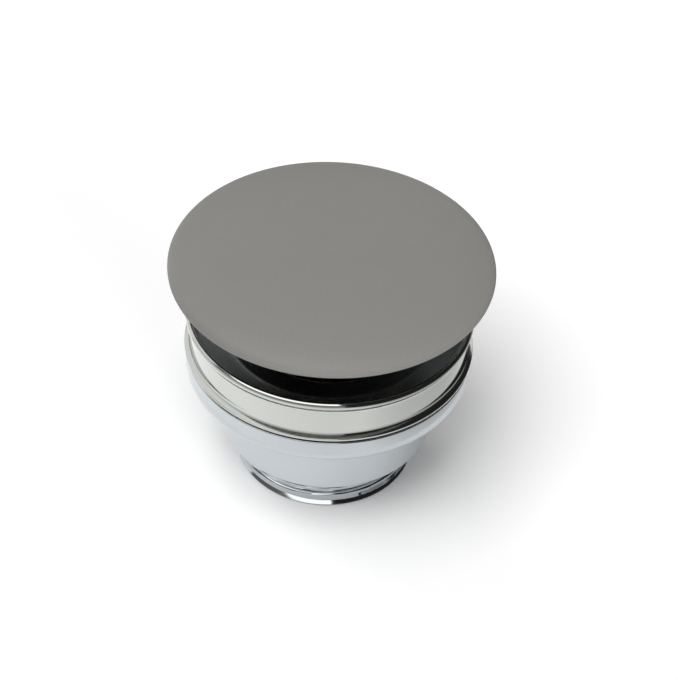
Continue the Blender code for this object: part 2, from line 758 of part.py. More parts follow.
def plunger_rod():
    """Rod with two flats, riveted into the sleeve and tapped for the stud."""
    rod = prism(
        "plunger_rod", double_d(rod_radius, rod_half_flat), rod_foot_z, rod_top_z, steel, plug_group,
    )
    spigot_outline = [
        (0, rivet_foot_z),
        (rivet_radius, rivet_foot_z),
        (rivet_radius, rivet_top_z),
        (SPIGOT_RADIUS, rivet_top_z),
        (SPIGOT_RADIUS, rod_foot_z + OVERRUN),
        (0, rod_foot_z + OVERRUN),
    ]
    spigot = turned("rod_spigot", spigot_outline, steel, plug_group, SIDES_SMALL)
    boolean(rod, spigot, "UNION")
    tapped_foot = rod_top_z - STUD_IN_ROD - SEAT_GAP
    round_hole(rod, STUD_RADIUS + THREAD_GAP, tapped_foot, rod_top_z + OVERRUN, SIDES_SMALL)


def cap_stud():
    """Stud that joins the plug's base to the rod and sets its height."""
    foot = rod_top_z - STUD_IN_ROD
    top = base_top_z - SEAT_GAP
    outline = [
        (0, foot),
        (STUD_RADIUS - STUD_CHAMFER, foot),
        (STUD_RADIUS, foot + STUD_CHAMFER),
        (STUD_RADIUS, top - STUD_CHAMFER),
        (STUD_RADIUS - STUD_CHAMFER, top),
        (0, top),
    ]
    turned("cap_stud", outline, steel, plug_group, SIDES_SMALL)


def cap_lock_nut():
    """Nut that locks the stud between the rod and the plug's base."""
    nut = hexagon_piece("cap_lock_nut", LOCK_NUT_FLATS, lock_nut_z, lock_nut_top_z, steel, plug_group)
    hole_radius = STUD_RADIUS + THREAD_GAP
    round_hole(nut, hole_radius, lock_nut_z - OVERRUN, lock_nut_top_z + OVERRUN, SIDES_SMALL)


def plug_base():
    """Turned base bonded under the cover, with the seal's groove and a pocket over the cartridge."""
    groove_top = seal_top_z + SEAT_GAP
    outline = [
        (STUD_RADIUS + THREAD_GAP, base_top_z),
        (STUD_RADIUS + THREAD_GAP, pocket_top_z),
        (base_pocket_radius, pocket_top_z),
        (base_pocket_radius, base_foot_z),
        (base_foot_radius - BASE_CHAMFER, base_foot_z),
        (base_foot_radius, base_foot_z + BASE_CHAMFER),
        (base_foot_radius, groove_foot_z),
        (base_body_radius, groove_foot_z),
        (base_body_radius, groove_top),
        (base_foot_radius, groove_top),
        (base_foot_radius, groove_top + BASE_CHAMFER),
        (base_body_radius, groove_top + 2 * BASE_CHAMFER),
        (base_body_radius, plate_foot_z - BASE_CHAMFER),
        (base_body_radius + BASE_CHAMFER, plate_foot_z),
        (plate_radius, plate_foot_z),
        (plate_radius, base_top_z),
    ]
    turned("plug_base", outline, black_acetal, plug_group, SIDES_LARGE)


def plug_seal():
    """Rubber ring in the base's groove, tapered to the lip that meets the dish."""
    inner = base_body_radius + SEAT_GAP
    outline = [
        (inner, seal_foot_z),
        *arc(seal_radius - SEAL_TIP_RADIUS, seal_foot_z + SEAL_TIP_RADIUS, SEAL_TIP_RADIUS, -90, 90),
        (base_foot_radius, seal_top_z),
        (inner, seal_top_z),
    ]
    turned("plug_seal", outline, black_rubber, plug_group, SIDES_LARGE)


def bonding_pad():
    """Thin ring of foam that bonds the cover to its base."""
    inner = STUD_RADIUS + PAD_BORE_GAP
    outer = plate_radius - RUN_GAP
    outline = [
        (inner, pad_z),
        (outer, pad_z),
        (outer, pad_z + PAD_THICKNESS),
        (inner, pad_z + PAD_THICKNESS),
    ]
    turned("bonding_pad", outline, foam_pad, plug_group, SIDES_MEDIUM)


def ceramic_cap():
    """Shallow dome with a full round edge and a recess below for the base."""
    widest_z = cap_foot_z + CAP_EDGE
    crown = []
    for i in range(CROWN_STEPS + 1):
        lift = math.sin(math.pi / 2 * i / CROWN_STEPS)
        radius = CAP_RADIUS * (1 - lift ** CAP_CROWN_POWER) ** (1 / CAP_CROWN_POWER)
        crown.append((radius, widest_z + CAP_CROWN * lift))
    outline = [
        (0, cap_recess_z),
        (cap_recess_radius, cap_recess_z),
        (cap_recess_radius, cap_foot_z),
        *arc(CAP_RADIUS - CAP_EDGE, widest_z, CAP_EDGE, -90, -20),
        *crown,
    ]
    turned("ceramic_cap", outline, grey_ceramic, plug_group, SIDES_LARGE)


lower_cup()
cup_gasket()
flange_gasket()
upper_flange()
cartridge_body()
cartridge_nut()
cartridge_o_ring()
guide_bush()
retaining_ring()
spring_seat()
plunger_spring()
cam_sleeve()
latch_ring()
plunger_rod()
cap_stud()
cap_lock_nut()
plug_base()
plug_seal()
bonding_pad()
ceramic_cap()
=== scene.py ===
"""Looks of a push-to-open basin waste: a matt ceramic cover over a chromed flange, cup and tail.

Metres, +Z up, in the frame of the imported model. The waste stands on its tail's end.
"""
import json
import math

import bmesh
import bpy
from mathutils import Matrix, Vector


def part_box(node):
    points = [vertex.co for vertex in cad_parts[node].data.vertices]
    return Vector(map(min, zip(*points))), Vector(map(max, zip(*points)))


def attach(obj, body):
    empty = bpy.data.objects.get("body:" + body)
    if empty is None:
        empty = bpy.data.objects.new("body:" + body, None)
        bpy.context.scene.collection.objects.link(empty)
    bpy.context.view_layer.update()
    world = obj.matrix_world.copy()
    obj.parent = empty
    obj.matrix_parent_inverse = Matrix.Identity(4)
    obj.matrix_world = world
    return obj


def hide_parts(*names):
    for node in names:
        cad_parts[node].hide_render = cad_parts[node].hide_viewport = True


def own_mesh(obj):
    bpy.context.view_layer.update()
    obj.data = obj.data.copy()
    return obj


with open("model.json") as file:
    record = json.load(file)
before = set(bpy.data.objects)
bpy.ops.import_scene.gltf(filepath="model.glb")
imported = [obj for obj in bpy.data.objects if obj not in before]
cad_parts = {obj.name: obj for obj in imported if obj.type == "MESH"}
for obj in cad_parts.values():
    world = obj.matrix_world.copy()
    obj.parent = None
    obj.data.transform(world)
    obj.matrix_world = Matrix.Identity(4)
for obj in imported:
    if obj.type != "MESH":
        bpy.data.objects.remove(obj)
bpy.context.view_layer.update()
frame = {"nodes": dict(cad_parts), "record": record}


# Camera, looking down at the waste from the front.
# Its elevation, roll and distance were fitted to the round outlines in the photograph.
PHOTO_SIDE_PX = 680
FOCAL_PX = 1600
SENSOR_MM = 36.0
CAMERA_ELEVATION_DEG = 42.396
CAMERA_ROLL_DEG = 2.809
CAMERA_DISTANCE = 0.38853
CAMERA_SIDE = 0.00233
CAMERA_RISE = 0.024726
CLIP_START = 0.01

elevation = math.radians(CAMERA_ELEVATION_DEG)
camera_right = Vector((1, 0, 0))
camera_up = Vector((0, math.sin(elevation), math.cos(elevation)))
camera_back = Vector((0, -math.cos(elevation), math.sin(elevation)))
camera_data = bpy.data.cameras.new("camera")
camera_data.sensor_width = SENSOR_MM
camera_data.lens = SENSOR_MM * FOCAL_PX / PHOTO_SIDE_PX
camera_data.clip_start = CLIP_START
camera = bpy.data.objects.new("camera", camera_data)
camera_turn = Matrix((camera_right, camera_up, camera_back)).transposed()
camera_turn = camera_turn @ Matrix.Rotation(math.radians(CAMERA_ROLL_DEG), 3, "Z")
camera_place = (
    camera_back * CAMERA_DISTANCE + camera_right * CAMERA_SIDE + camera_up * CAMERA_RISE
)
camera.matrix_world = Matrix.Translation(camera_place) @ camera_turn.to_4x4()
bpy.context.scene.collection.objects.link(camera)
bpy.context.scene.camera = camera


# Threaded cup: tail, neck and cup turned in one from a brass casting, then chromed.
# The tail has a pipe thread outside, above a plain foot ring with a bevelled shoulder.
# The neck has the same thread inside, for the flange's stem.
TAIL_RADIUS = 0.02095
TAIL_BORE = 0.0178
TAIL_TOP = 0.0106
FOOT_CHAMFER = 0.00060
FOOT_RISE = 0.00030
FOOT_LAND = 0.00050
BEVEL_INSET = 0.00088
BEVEL_Z = 0.00120
UNDERCUT_Z = 0.00150
THREAD_FOOT = 0.0021
NECK_RADIUS = 0.0250
NECK_BORE = 0.0209
NECK_EDGE = 0.0005
NECK_LEDGE = 0.0122
CUP_FOOT = 0.0275
CUP_FLOOR = 0.0020
CUP_WALL = 0.0022
CUP_CORNER = 0.0016
CUP_FILLET = 0.0025
SEAT_GAP = 0.00015
SMALL_EDGE = 0.0003
FOOT_EDGE = 0.000075
UNDERCUT_EDGE = 0.0001
PIPE_PITCH = 0.002309
PIPE_DEPTH = 0.0010
GROOVE_SHARE = 0.78
COARSE_ROWS = 14
RUN_IN_DEG = 4.0
TAIL_START_DEG = -66.0
TAIL_START_Z = 0.0024
TURN_STEPS = 192
EASE_STEPS = 4
MERGE_DISTANCE = 1e-6
WALL_SLACK = 1e-5
SHARP_DEG = 32.0
CHROME_COOL = (0.530, 0.566, 0.580)
CHROME_LILAC = (0.548, 0.576, 0.602)
CUP_ROUGHNESS = (0.06, 0.12)
PIT_SHADE = 0.955
GRAIN_LOW = 0.3
GRAIN_HIGH = 0.7


def arc(centre_r, centre_z, radius, start_deg, end_deg, steps=8):
    """Points (r, z) of a round stretch of an outline, ends included."""
    points = []
    for i in range(steps + 1):
        turn = math.radians(start_deg + (end_deg - start_deg) * i / steps)
        points.append((centre_r + radius * math.cos(turn), centre_z + radius * math.sin(turn)))
    return points


def eased(outline):
    """Outline whose corners given as (r, z, ease) are rounded over that length on both sides."""
    points = []
    for i, (r, z, *ease) in enumerate(outline):
        corner = Vector((r, z))
        if not ease:
            points.append((r, z))
            continue
        last, following = outline[i - 1], outline[(i + 1) % len(outline)]
        before = corner + (Vector(last[:2]) - corner).normalized() * ease[0]
        after = corner + (Vector(following[:2]) - corner).normalized() * ease[0]
        for k in range(EASE_STEPS + 1):
            t = k / EASE_STEPS
            point = before * (1 - t) ** 2 + corner * 2 * t * (1 - t) + after * t ** 2
            points.append(tuple(point))
    return points


def rows(radius, low_z, high_z, pitch, rows_per_pitch=COARSE_ROWS):
    """Points up a straight wall, close enough together to carry a thread."""
    count = max(1, round((high_z - low_z) / pitch * rows_per_pitch))
    return [(radius, low_z + (high_z - low_z) * i / count) for i in range(count + 1)]


def turned(outline, steps=TURN_STEPS):
    """Closed solid of an (r, z) outline spun about the axis."""
    bm = bmesh.new()
    points = [bm.verts.new((r, 0, z)) for r, z in outline]
    edges = [bm.edges.new(pair) for pair in zip(points, points[1:])]
    if outline[0][0] > 0 or outline[-1][0] > 0:
        edges.append(bm.edges.new((points[-1], points[0])))
    bmesh.ops.spin(
        bm, geom=points + edges, cent=(0, 0, 0), axis=(0, 0, 1),
        angle=2 * math.pi, steps=steps, use_merge=True,
    )
    bmesh.ops.remove_doubles(bm, verts=bm.verts, dist=MERGE_DISTANCE)
    bmesh.ops.dissolve_degenerate(bm, edges=bm.edges, dist=MERGE_DISTANCE)
    bmesh.ops.recalc_face_normals(bm, faces=bm.faces)
    return bm


def cut_thread(bm, radius, low_z, high_z, pitch, depth, start_deg, start_z):
    """Press a right-handed groove into a wall. A negative depth cuts outwards, into a bore."""
    for vert in bm.verts:
        if abs(vert.co.xy.length - radius) > WALL_SLACK:
            continue
        if not low_z <= vert.co.z < high_z:
            continue
        turn = (math.degrees(math.atan2(vert.co.y, vert.co.x)) - start_deg) % 360
        height = vert.co.z - start_z
        lap = max(0, round(height / pitch - turn / 360))
        off = abs(height - pitch * (turn / 360 + lap)) / (pitch * GROOVE_SHARE / 2)
        if off >= 1:
            continue
        cut = depth * (0.5 + 0.5 * math.cos(math.pi * off))
        if lap == 0:
            cut *= min(1, turn / RUN_IN_DEG)
        cut *= min(1, (high_z - vert.co.z) / (pitch / 2))
        vert.co.xy *= (radius - cut) / radius


def mesh_object(name, bm):
    """Object from a bmesh, smooth up to its sharp edges."""
    mesh = bpy.data.meshes.new(name)
    bm.to_mesh(mesh)
    bm.free()
    mesh.shade_smooth()
    mesh.set_sharp_from_angle(angle=math.radians(SHARP_DEG))
    made = bpy.data.objects.new(name, mesh)
    bpy.context.scene.collection.objects.link(made)
    return made


def place_piece(name, bm, material, node):
    """Piece that stands for a CAD node, on that node's body and with the given material."""
    piece = mesh_object(name, bm)
    piece.data.materials.append(material)
    bodies = frame["record"]["behaviour"]["bodies"]
    body = next(owner for owner, members in bodies.items() if node in members)
    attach(piece, body)
    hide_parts(node)
    return piece


def add_socket(group, name, direction, kind):
    """Named input or output of a node group."""
    group.interface.new_socket(name=name, in_out=direction, socket_type="NodeSocket" + kind)


def make_grain_group():
    """Grain in three dimensions: a mask from 0 to 1 and the normal that it bumps.

    A stretch below 1 on an axis draws the grain out along it, as turning does.
    """
    group = bpy.data.node_groups.new("grain", "ShaderNodeTree")
    add_socket(group, "Scale", "INPUT", "Float")
    add_socket(group, "Detail", "INPUT", "Float")
    add_socket(group, "Depth", "INPUT", "Float")
    add_socket(group, "Stretch", "INPUT", "Vector")
    add_socket(group, "Normal", "INPUT", "Vector")
    add_socket(group, "Mask", "OUTPUT", "Float")
    add_socket(group, "Normal", "OUTPUT", "Vector")
    nodes = group.nodes
    links = group.links
    inner = nodes.new("NodeGroupInput")
    outer = nodes.new("NodeGroupOutput")
    place = nodes.new("ShaderNodeTexCoord")
    drawn = nodes.new("ShaderNodeVectorMath")
    drawn.operation = "MULTIPLY"
    noise = nodes.new("ShaderNodeTexNoise")
    spread = nodes.new("ShaderNodeMapRange")
    spread.inputs["From Min"].default_value = GRAIN_LOW
    spread.inputs["From Max"].default_value = GRAIN_HIGH
    bump = nodes.new("ShaderNodeBump")
    bump.inputs["Strength"].default_value = 1.0
    links.new(place.outputs["Object"], drawn.inputs[0])
    links.new(inner.outputs["Stretch"], drawn.inputs[1])
    links.new(drawn.outputs["Vector"], noise.inputs["Vector"])
    links.new(inner.outputs["Scale"], noise.inputs["Scale"])
    links.new(inner.outputs["Detail"], noise.inputs["Detail"])
    links.new(noise.outputs["Fac"], spread.inputs["Value"])
    links.new(noise.outputs["Fac"], bump.inputs["Height"])
    links.new(inner.outputs["Depth"], bump.inputs["Distance"])
    links.new(inner.outputs["Normal"], bump.inputs["Normal"])
    links.new(spread.outputs["Result"], outer.inputs["Mask"])
    links.new(bump.outputs["Normal"], outer.inputs["Normal"])
    return group


grain_group = make_grain_group()


def make_finish(name, colour, roughness, metallic=0.0):
    """Material with its tree and its shader, ready for its grain."""
    material = bpy.data.materials.new(name)
    material.use_nodes = True
    material.diffuse_color = (*colour, 1)
    tree = material.node_tree
    shader = tree.nodes["Principled BSDF"]
    shader.inputs["Base Color"].default_value = (*colour, 1)
    shader.inputs["Roughness"].default_value = roughness
    shader.inputs["Metallic"].default_value = metallic
    return material, tree, shader


def add_grain(tree, shader, scale, detail, depth, stretch=(1, 1, 1)):
    """Grain that bumps the shader's normal, over any grain that it has. Returns its mask."""
    grain = tree.nodes.new("ShaderNodeGroup")
    grain.node_tree = grain_group
    grain.inputs["Scale"].default_value = scale
    grain.inputs["Detail"].default_value = detail
    grain.inputs["Depth"].default_value = depth
    grain.inputs["Stretch"].default_value = stretch
    before = shader.inputs["Normal"].links
    if before:
        tree.links.new(before[0].from_socket, grain.inputs["Normal"])
    tree.links.new(grain.outputs["Normal"], shader.inputs["Normal"])
    return grain.outputs["Mask"]


def mix_over(tree, mask, low, high, socket):
    """Colours or sockets, mixed over a mask, into a colour socket. Returns the mix."""
    mix = tree.nodes.new("ShaderNodeMix")
    mix.data_type = "RGBA"
    for name, value in (("A", low), ("B", high)):
        if isinstance(value, tuple):
            mix.inputs[name].default_value = (*value, 1)
        else:
            tree.links.new(value, mix.inputs[name])
    tree.links.new(mask, mix.inputs["Factor"])
    tree.links.new(mix.outputs["Result"], socket)
    return mix.outputs["Result"]


def ramp(tree, value, low, high, socket, from_low=0.0, from_high=1.0):
    """Number from low to high over a value, into a socket. Returns it."""
    spread = tree.nodes.new("ShaderNodeMapRange")
    spread.inputs["From Min"].default_value = from_low
    spread.inputs["From Max"].default_value = from_high
    spread.inputs["To Min"].default_value = low
    spread.inputs["To Max"].default_value = high
    tree.links.new(value, spread.inputs["Value"])
    tree.links.new(spread.outputs["Result"], socket)
    return spread.outputs["Result"]


def polished_chrome(name, low_colour, high_colour, smooth, hazy):
    """Bright plating over a polished casting: slow waves, fine pits and hazy patches."""
    material, tree, shader = make_finish(name, low_colour, smooth, metallic=1.0)
    waves = add_grain(tree, shader, scale=55.0, detail=2.0, depth=0.000012)
    pits = add_grain(tree, shader, scale=3600.0, detail=2.0, depth=0.0000016)
    haze = add_grain(tree, shader, scale=300.0, detail=3.0, depth=0.0000012)
    speckle = tree.nodes.new("ShaderNodeMix")
    speckle.data_type = "RGBA"
    speckle.blend_type = "MULTIPLY"
    speckle.inputs["Factor"].default_value = 1.0
    grey = tree.nodes.new("ShaderNodeCombineColor")
    level = ramp(tree, pits, PIT_SHADE, 1.0, grey.inputs[0])
    tree.links.new(level, grey.inputs[1])
    tree.links.new(level, grey.inputs[2])
    mix_over(tree, waves, low_colour, high_colour, speckle.inputs["A"])
    tree.links.new(grey.outputs["Color"], speckle.inputs["B"])
    tree.links.new(speckle.outputs["Result"], shader.inputs["Base Color"])
    ramp(tree, haze, smooth, hazy, shader.inputs["Roughness"])
    return material


cup_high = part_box("lower_cup")[1]
cup_radius = cup_high.x
cup_rim = cup_high.z
cup_floor = CUP_FOOT + CUP_FLOOR
cup_outline = eased([
    (TAIL_BORE, 0, SMALL_EDGE),
    (TAIL_RADIUS - FOOT_CHAMFER, 0, FOOT_EDGE),
    (TAIL_RADIUS, FOOT_RISE, FOOT_EDGE),
    (TAIL_RADIUS, FOOT_LAND, FOOT_EDGE),
    (TAIL_RADIUS - BEVEL_INSET, BEVEL_Z, FOOT_EDGE),
    (TAIL_RADIUS - PIPE_DEPTH, UNDERCUT_Z, UNDERCUT_EDGE),
    *rows(TAIL_RADIUS, THREAD_FOOT, TAIL_TOP, PIPE_PITCH),
    (NECK_RADIUS, TAIL_TOP, NECK_EDGE),
    (NECK_RADIUS, CUP_FOOT, CUP_FILLET),
    (cup_radius, CUP_FOOT, CUP_CORNER),
    (cup_radius, cup_rim + SEAT_GAP, SMALL_EDGE),
    (cup_radius - CUP_WALL, cup_rim + SEAT_GAP, SMALL_EDGE),
    (cup_radius - CUP_WALL, cup_floor, SMALL_EDGE),
    (NECK_BORE + NECK_EDGE, cup_floor),
    *reversed(rows(NECK_BORE, NECK_LEDGE, cup_floor - NECK_EDGE, PIPE_PITCH)),
    (TAIL_BORE, NECK_LEDGE, SMALL_EDGE),
])
cup_bm = turned(cup_outline)
cut_thread(
    cup_bm, TAIL_RADIUS, THREAD_FOOT, TAIL_TOP, PIPE_PITCH, PIPE_DEPTH, TAIL_START_DEG,
    TAIL_START_Z,
)
cut_thread(cup_bm, NECK_BORE, NECK_LEDGE, cup_floor, PIPE_PITCH, -PIPE_DEPTH, 0, NECK_LEDGE)
cup_chrome = polished_chrome("cool_chrome", CHROME_COOL, CHROME_LILAC, *CUP_ROUGHNESS)
place_piece("chromed_cup", cup_bm, cup_chrome, "lower_cup")


# Gaskets: moulded black rubber, a thick one in the cup and a thin one under the flange's lip.
# They grip the basin from below and above when the flange is screwed down.
RUBBER = (0.006, 0.006, 0.0065)
RUBBER_BLOOM = (0.011, 0.011, 0.012)
RUBBER_ROUGHNESS = (0.52, 0.72)
RING_EDGE = 0.0004
WASHER_EDGE = 0.0002
GASKET_GAP = 0.0003
WASHER_THICKNESS = 0.0006
RECESS_RADIUS = 0.0296


def moulded_rubber():
    """Black rubber with a fine dry grain and a dusty bloom."""
    material, tree, shader = make_finish("moulded_rubber", RUBBER, RUBBER_ROUGHNESS[0])
    bloom = add_grain(tree, shader, scale=320.0, detail=4.0, depth=0.00001)
    fine = add_grain(tree, shader, scale=4200.0, detail=2.0, depth=0.000008)
    mix_over(tree, bloom, RUBBER, RUBBER_BLOOM, shader.inputs["Base Color"])
    ramp(tree, fine, *RUBBER_ROUGHNESS, shader.inputs["Roughness"])
    return material


def ring_outline(inner, outer, foot_z, top_z, ease):
    """Outline of a plain ring with its four corners eased."""
    corners = ((inner, foot_z), (outer, foot_z), (outer, top_z), (inner, top_z))
    return eased([(r, z, ease) for r, z in corners])


rubber = moulded_rubber()
ring_low, ring_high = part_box("cup_gasket")
thick_ring = ring_outline(NECK_BORE + GASKET_GAP, ring_high.x, ring_low.z, ring_high.z, RING_EDGE)
place_piece("cup_washer", turned(thick_ring), rubber, "cup_gasket")
washer_low, washer_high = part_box("flange_gasket")
washer_outline = eased([
    (NECK_BORE, washer_low.z, WASHER_EDGE),
    (washer_high.x, washer_low.z, WASHER_EDGE),
    (washer_high.x, washer_low.z + WASHER_THICKNESS, WASHER_EDGE),
    (RECESS_RADIUS - GASKET_GAP, washer_low.z + WASHER_THICKNESS),
    (RECESS_RADIUS - GASKET_GAP, washer_high.z, WASHER_EDGE),
    (NECK_BORE, washer_high.z, WASHER_EDGE),
])
place_piece("flange_washer", turned(washer_outline), rubber, "flange_gasket")


# Upper flange: dish, rolled rim, outer band and threaded stem in one turning.
# The overflow windows are milled through the stem, and a spider with a hub is cast in.
# Its outside is polished and chromed a little warmer than the cup; the dish is satin with painted
# shade.
STEM_RADIUS = 0.0206
STEM_CHAMFER = 0.0006
BAND_RADIUS = 0.0317
COVE_RADIUS = 0.0020
COVE_STEPS = 12
COVE_END_DEG = 210
COVE_FOOT = 0.00073
RIM_TABLE = (
    (-0.00075, 0.00070, 0.00012),
    (-0.00020, 0.0, 0.00012),
    (0.00023, 0.0, 0.00005),
    (0.00053, 0.00023, 0.00005),
    (0.00075, 0.00066, 0.00010),
    (0.00080, 0.00094, 0.00010),
    (0.00080, 0.00127, 0.00010),
    (0.00044, 0.00175, 0.00020),
    (0.00016, 0.00225, 0.00020),
    (0.00004, 0.00270, 0.00020),
    (0.0, 0.00320, 0.00020),
)
LIP_HEIGHT = 0.0217
LIP_FACE = 0.00035
LIP_EDGE = 0.00012
DISH_MOUTH_RADIUS = 0.0306
DISH_MOUTH_DEPTH = 0.0017
DISH_FLOOR_RADIUS = 0.0234
DISH_DEPTH = 0.0069
DISH_FLOOR = 0.0020
DISH_LIP_FILLET = 0.0008
DISH_BEND = 0.0010
HUB_RADIUS = 0.0122
HUB_BORE = 0.0089
HUB_HEIGHT = 0.0047
HUB_DROP = 0.0006
HUB_STEPS = 96
O_RING_POCKET = 0.01045
POCKET_DEPTH = 0.001125
SPIDER_ARMS = 4
ARM_WIDTH = 0.0024
ARM_HEIGHT = 0.0038
WINDOWS = 4
WINDOW_WIDTH = 0.0095
WINDOW_HEIGHT = 0.0105
WINDOW_CORNER = 0.0018
WINDOW_TOP_GAP = 0.0022
CORNER_STEPS = 6
CHROME_WARM = (0.560, 0.580, 0.550)
CHROME_PALE = (0.590, 0.605, 0.580)
# Painted shade: the dish's plating colours, darker to stand for the shade under the cover.
DISH_PAINTED_SHADE_DARK = (0.21, 0.22, 0.225)
DISH_PAINTED_SHADE_PALE = (0.34, 0.355, 0.36)
FLANGE_ROUGHNESS = (0.07, 0.13)
SATIN_ROUGHNESS = 0.33
SATIN_AND_SHADE_RADIUS = 0.0309
SATIN_AND_SHADE_SOFT = 0.0001
SATIN_AND_SHADE_FOOT = 0.0350


def combine(base, tool, operation):
    """Boolean of two closed solids. Both are used up, and the result comes back."""
    base_object = mesh_object("base", base)
    tool_object = mesh_object("tool", tool)
    step = base_object.modifiers.new("step", "BOOLEAN")
    step.operation = operation
    step.solver = "EXACT"
    step.object = tool_object
    bpy.context.view_layer.update()
    made = base_object.evaluated_get(bpy.context.evaluated_depsgraph_get())
    result = bmesh.new()
    result.from_mesh(made.to_mesh())
    for used in (base_object, tool_object):
        bpy.data.objects.remove(used, do_unlink=True)
    return result


def block(size, centre, corner, angle):
    """Box with rounded edges along X, moved out and turned about the axis."""
    bm = bmesh.new()
    bmesh.ops.create_cube(bm, size=1, matrix=Matrix.Diagonal((*size, 1)))
    along = [e for e in bm.edges if abs((e.verts[0].co - e.verts[1].co).normalized().x) > 0.9]
    bmesh.ops.bevel(
        bm, geom=along, offset=corner, segments=CORNER_STEPS, profile=0.5, affect="EDGES",
        material=-1,
    )
    bmesh.ops.translate(bm, verts=bm.verts, vec=centre)
    bmesh.ops.rotate(bm, verts=bm.verts, cent=(0, 0, 0), matrix=Matrix.Rotation(angle, 3, "Z"))
    return bm


def satin_and_painted_shade_inside(material, radius, soft, foot_z):
    """Leave the plating dull inside a radius and above a height, as in the dish, with painted
    shade: a darker colour there.
    """
    tree = material.node_tree
    shader = tree.nodes["Principled BSDF"]
    place = tree.nodes.new("ShaderNodeTexCoord")
    flat = tree.nodes.new("ShaderNodeVectorMath")
    flat.operation = "MULTIPLY"
    flat.inputs[1].default_value = (1, 1, 0)
    out = tree.nodes.new("ShaderNodeVectorMath")
    out.operation = "LENGTH"
    split = tree.nodes.new("ShaderNodeSeparateXYZ")
    both = tree.nodes.new("ShaderNodeMath")
    both.operation = "MULTIPLY"
    tree.links.new(place.outputs["Object"], flat.inputs[0])
    tree.links.new(flat.outputs["Vector"], out.inputs[0])
    tree.links.new(place.outputs["Object"], split.inputs[0])
    ramp(tree, out.outputs["Value"], 1.0, 0.0, both.inputs[0], radius - soft, radius + soft)
    ramp(tree, split.outputs["Z"], 0.0, 1.0, both.inputs[1], foot_z - soft, foot_z + soft)
    colour = shader.inputs["Base Color"].links[0].from_socket
    cast_skin = add_grain(tree, shader, scale=1900.0, detail=3.0, depth=0.000002)
    # Painted shade: the dish's colour is made darker for the shade that the cover casts into it.
    shaded_satin_colour = mix_over(tree, cast_skin, DISH_PAINTED_SHADE_DARK, DISH_PAINTED_SHADE_PALE, shader.inputs["Base Color"])
    mix_over(tree, both.outputs[0], colour, shaded_satin_colour, shader.inputs["Base Color"])
    polished = shader.inputs["Roughness"].links[0].from_socket
    dull = tree.nodes.new("ShaderNodeMix")
    dull.inputs["B"].default_value = SATIN_ROUGHNESS
    tree.links.new(both.outputs[0], dull.inputs["Factor"])
    tree.links.new(polished, dull.inputs["A"])
    tree.links.new(dull.outputs["Result"], shader.inputs["Roughness"])


flange_low, flange_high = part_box("upper_flange")
stem_foot = flange_low.z
rim_z = flange_high.z
lip_radius = flange_high.x
lip_z = stem_foot + LIP_HEIGHT
dish_floor = rim_z - DISH_DEPTH
stem_top = dish_floor - DISH_FLOOR
rim_outline = [(BAND_RADIUS + out, rim_z - down, ease) for out, down, ease in RIM_TABLE]
cove_z = lip_z + COVE_FOOT - COVE_RADIUS * math.sin(math.radians(COVE_END_DEG))
flange_outline = eased([
    *rim_outline,
    *arc(BAND_RADIUS + COVE_RADIUS, cove_z, COVE_RADIUS, 180, COVE_END_DEG, COVE_STEPS),
    (lip_radius, lip_z + LIP_FACE, LIP_EDGE),
    (lip_radius, lip_z - SEAT_GAP, LIP_EDGE),
    (RECESS_RADIUS, lip_z - SEAT_GAP, LIP_EDGE),
    (RECESS_RADIUS, stem_top, LIP_EDGE),
    *reversed(rows(STEM_RADIUS, stem_foot + STEM_CHAMFER, stem_top, PIPE_PITCH)),
    (STEM_RADIUS - STEM_CHAMFER, stem_foot),
    (TAIL_BORE, stem_foot, SMALL_EDGE),
    (TAIL_BORE, dish_floor, DISH_LIP_FILLET),
    (DISH_FLOOR_RADIUS, dish_floor, DISH_BEND),
    (DISH_MOUTH_RADIUS, rim_z - DISH_MOUTH_DEPTH, SMALL_EDGE),
])
flange_bm = turned(flange_outline)
cut_thread(
    flange_bm, STEM_RADIUS, stem_foot, stem_top, PIPE_PITCH, PIPE_DEPTH,
    0, stem_foot + PIPE_PITCH / 3,
)
wall_middle = (STEM_RADIUS + TAIL_BORE) / 2
window_size = (2 * (STEM_RADIUS - TAIL_BORE), WINDOW_WIDTH, WINDOW_HEIGHT)
window_place = (wall_middle, 0, stem_top - WINDOW_TOP_GAP - WINDOW_HEIGHT / 2)
for i in range(WINDOWS):
    window = block(window_size, window_place, WINDOW_CORNER, 2 * math.pi * i / WINDOWS)
    flange_bm = combine(flange_bm, window, "DIFFERENCE")
hub_top = dish_floor - HUB_DROP
hub_foot = hub_top - HUB_HEIGHT
hub_outline = eased([
    (HUB_BORE, hub_foot, SMALL_EDGE),
    (HUB_RADIUS, hub_foot, SMALL_EDGE),
    (HUB_RADIUS, hub_top, SMALL_EDGE),
    (O_RING_POCKET, hub_top),
    (O_RING_POCKET, hub_top - POCKET_DEPTH),
    (HUB_BORE, hub_top - POCKET_DEPTH),
])
arm_start = (HUB_RADIUS + O_RING_POCKET) / 2
arm_length = wall_middle - arm_start
arm_place = (arm_start + arm_length / 2, 0, hub_foot + ARM_HEIGHT / 2 + SMALL_EDGE)
for i in range(SPIDER_ARMS):
    arm_turn = 2 * math.pi * (i + 0.5) / SPIDER_ARMS
    arm = block((arm_length, ARM_WIDTH, ARM_HEIGHT), arm_place, SMALL_EDGE, arm_turn)
    flange_bm = combine(flange_bm, arm, "UNION")
flange_bm = combine(flange_bm, turned(hub_outline, HUB_STEPS), "UNION")
flange_chrome = polished_chrome("warm_chrome", CHROME_WARM, CHROME_PALE, *FLANGE_ROUGHNESS)
satin_and_painted_shade_inside(flange_chrome, SATIN_AND_SHADE_RADIUS, SATIN_AND_SHADE_SOFT, SATIN_AND_SHADE_FOOT)
place_piece("chromed_flange", flange_bm, flange_chrome, "upper_flange")


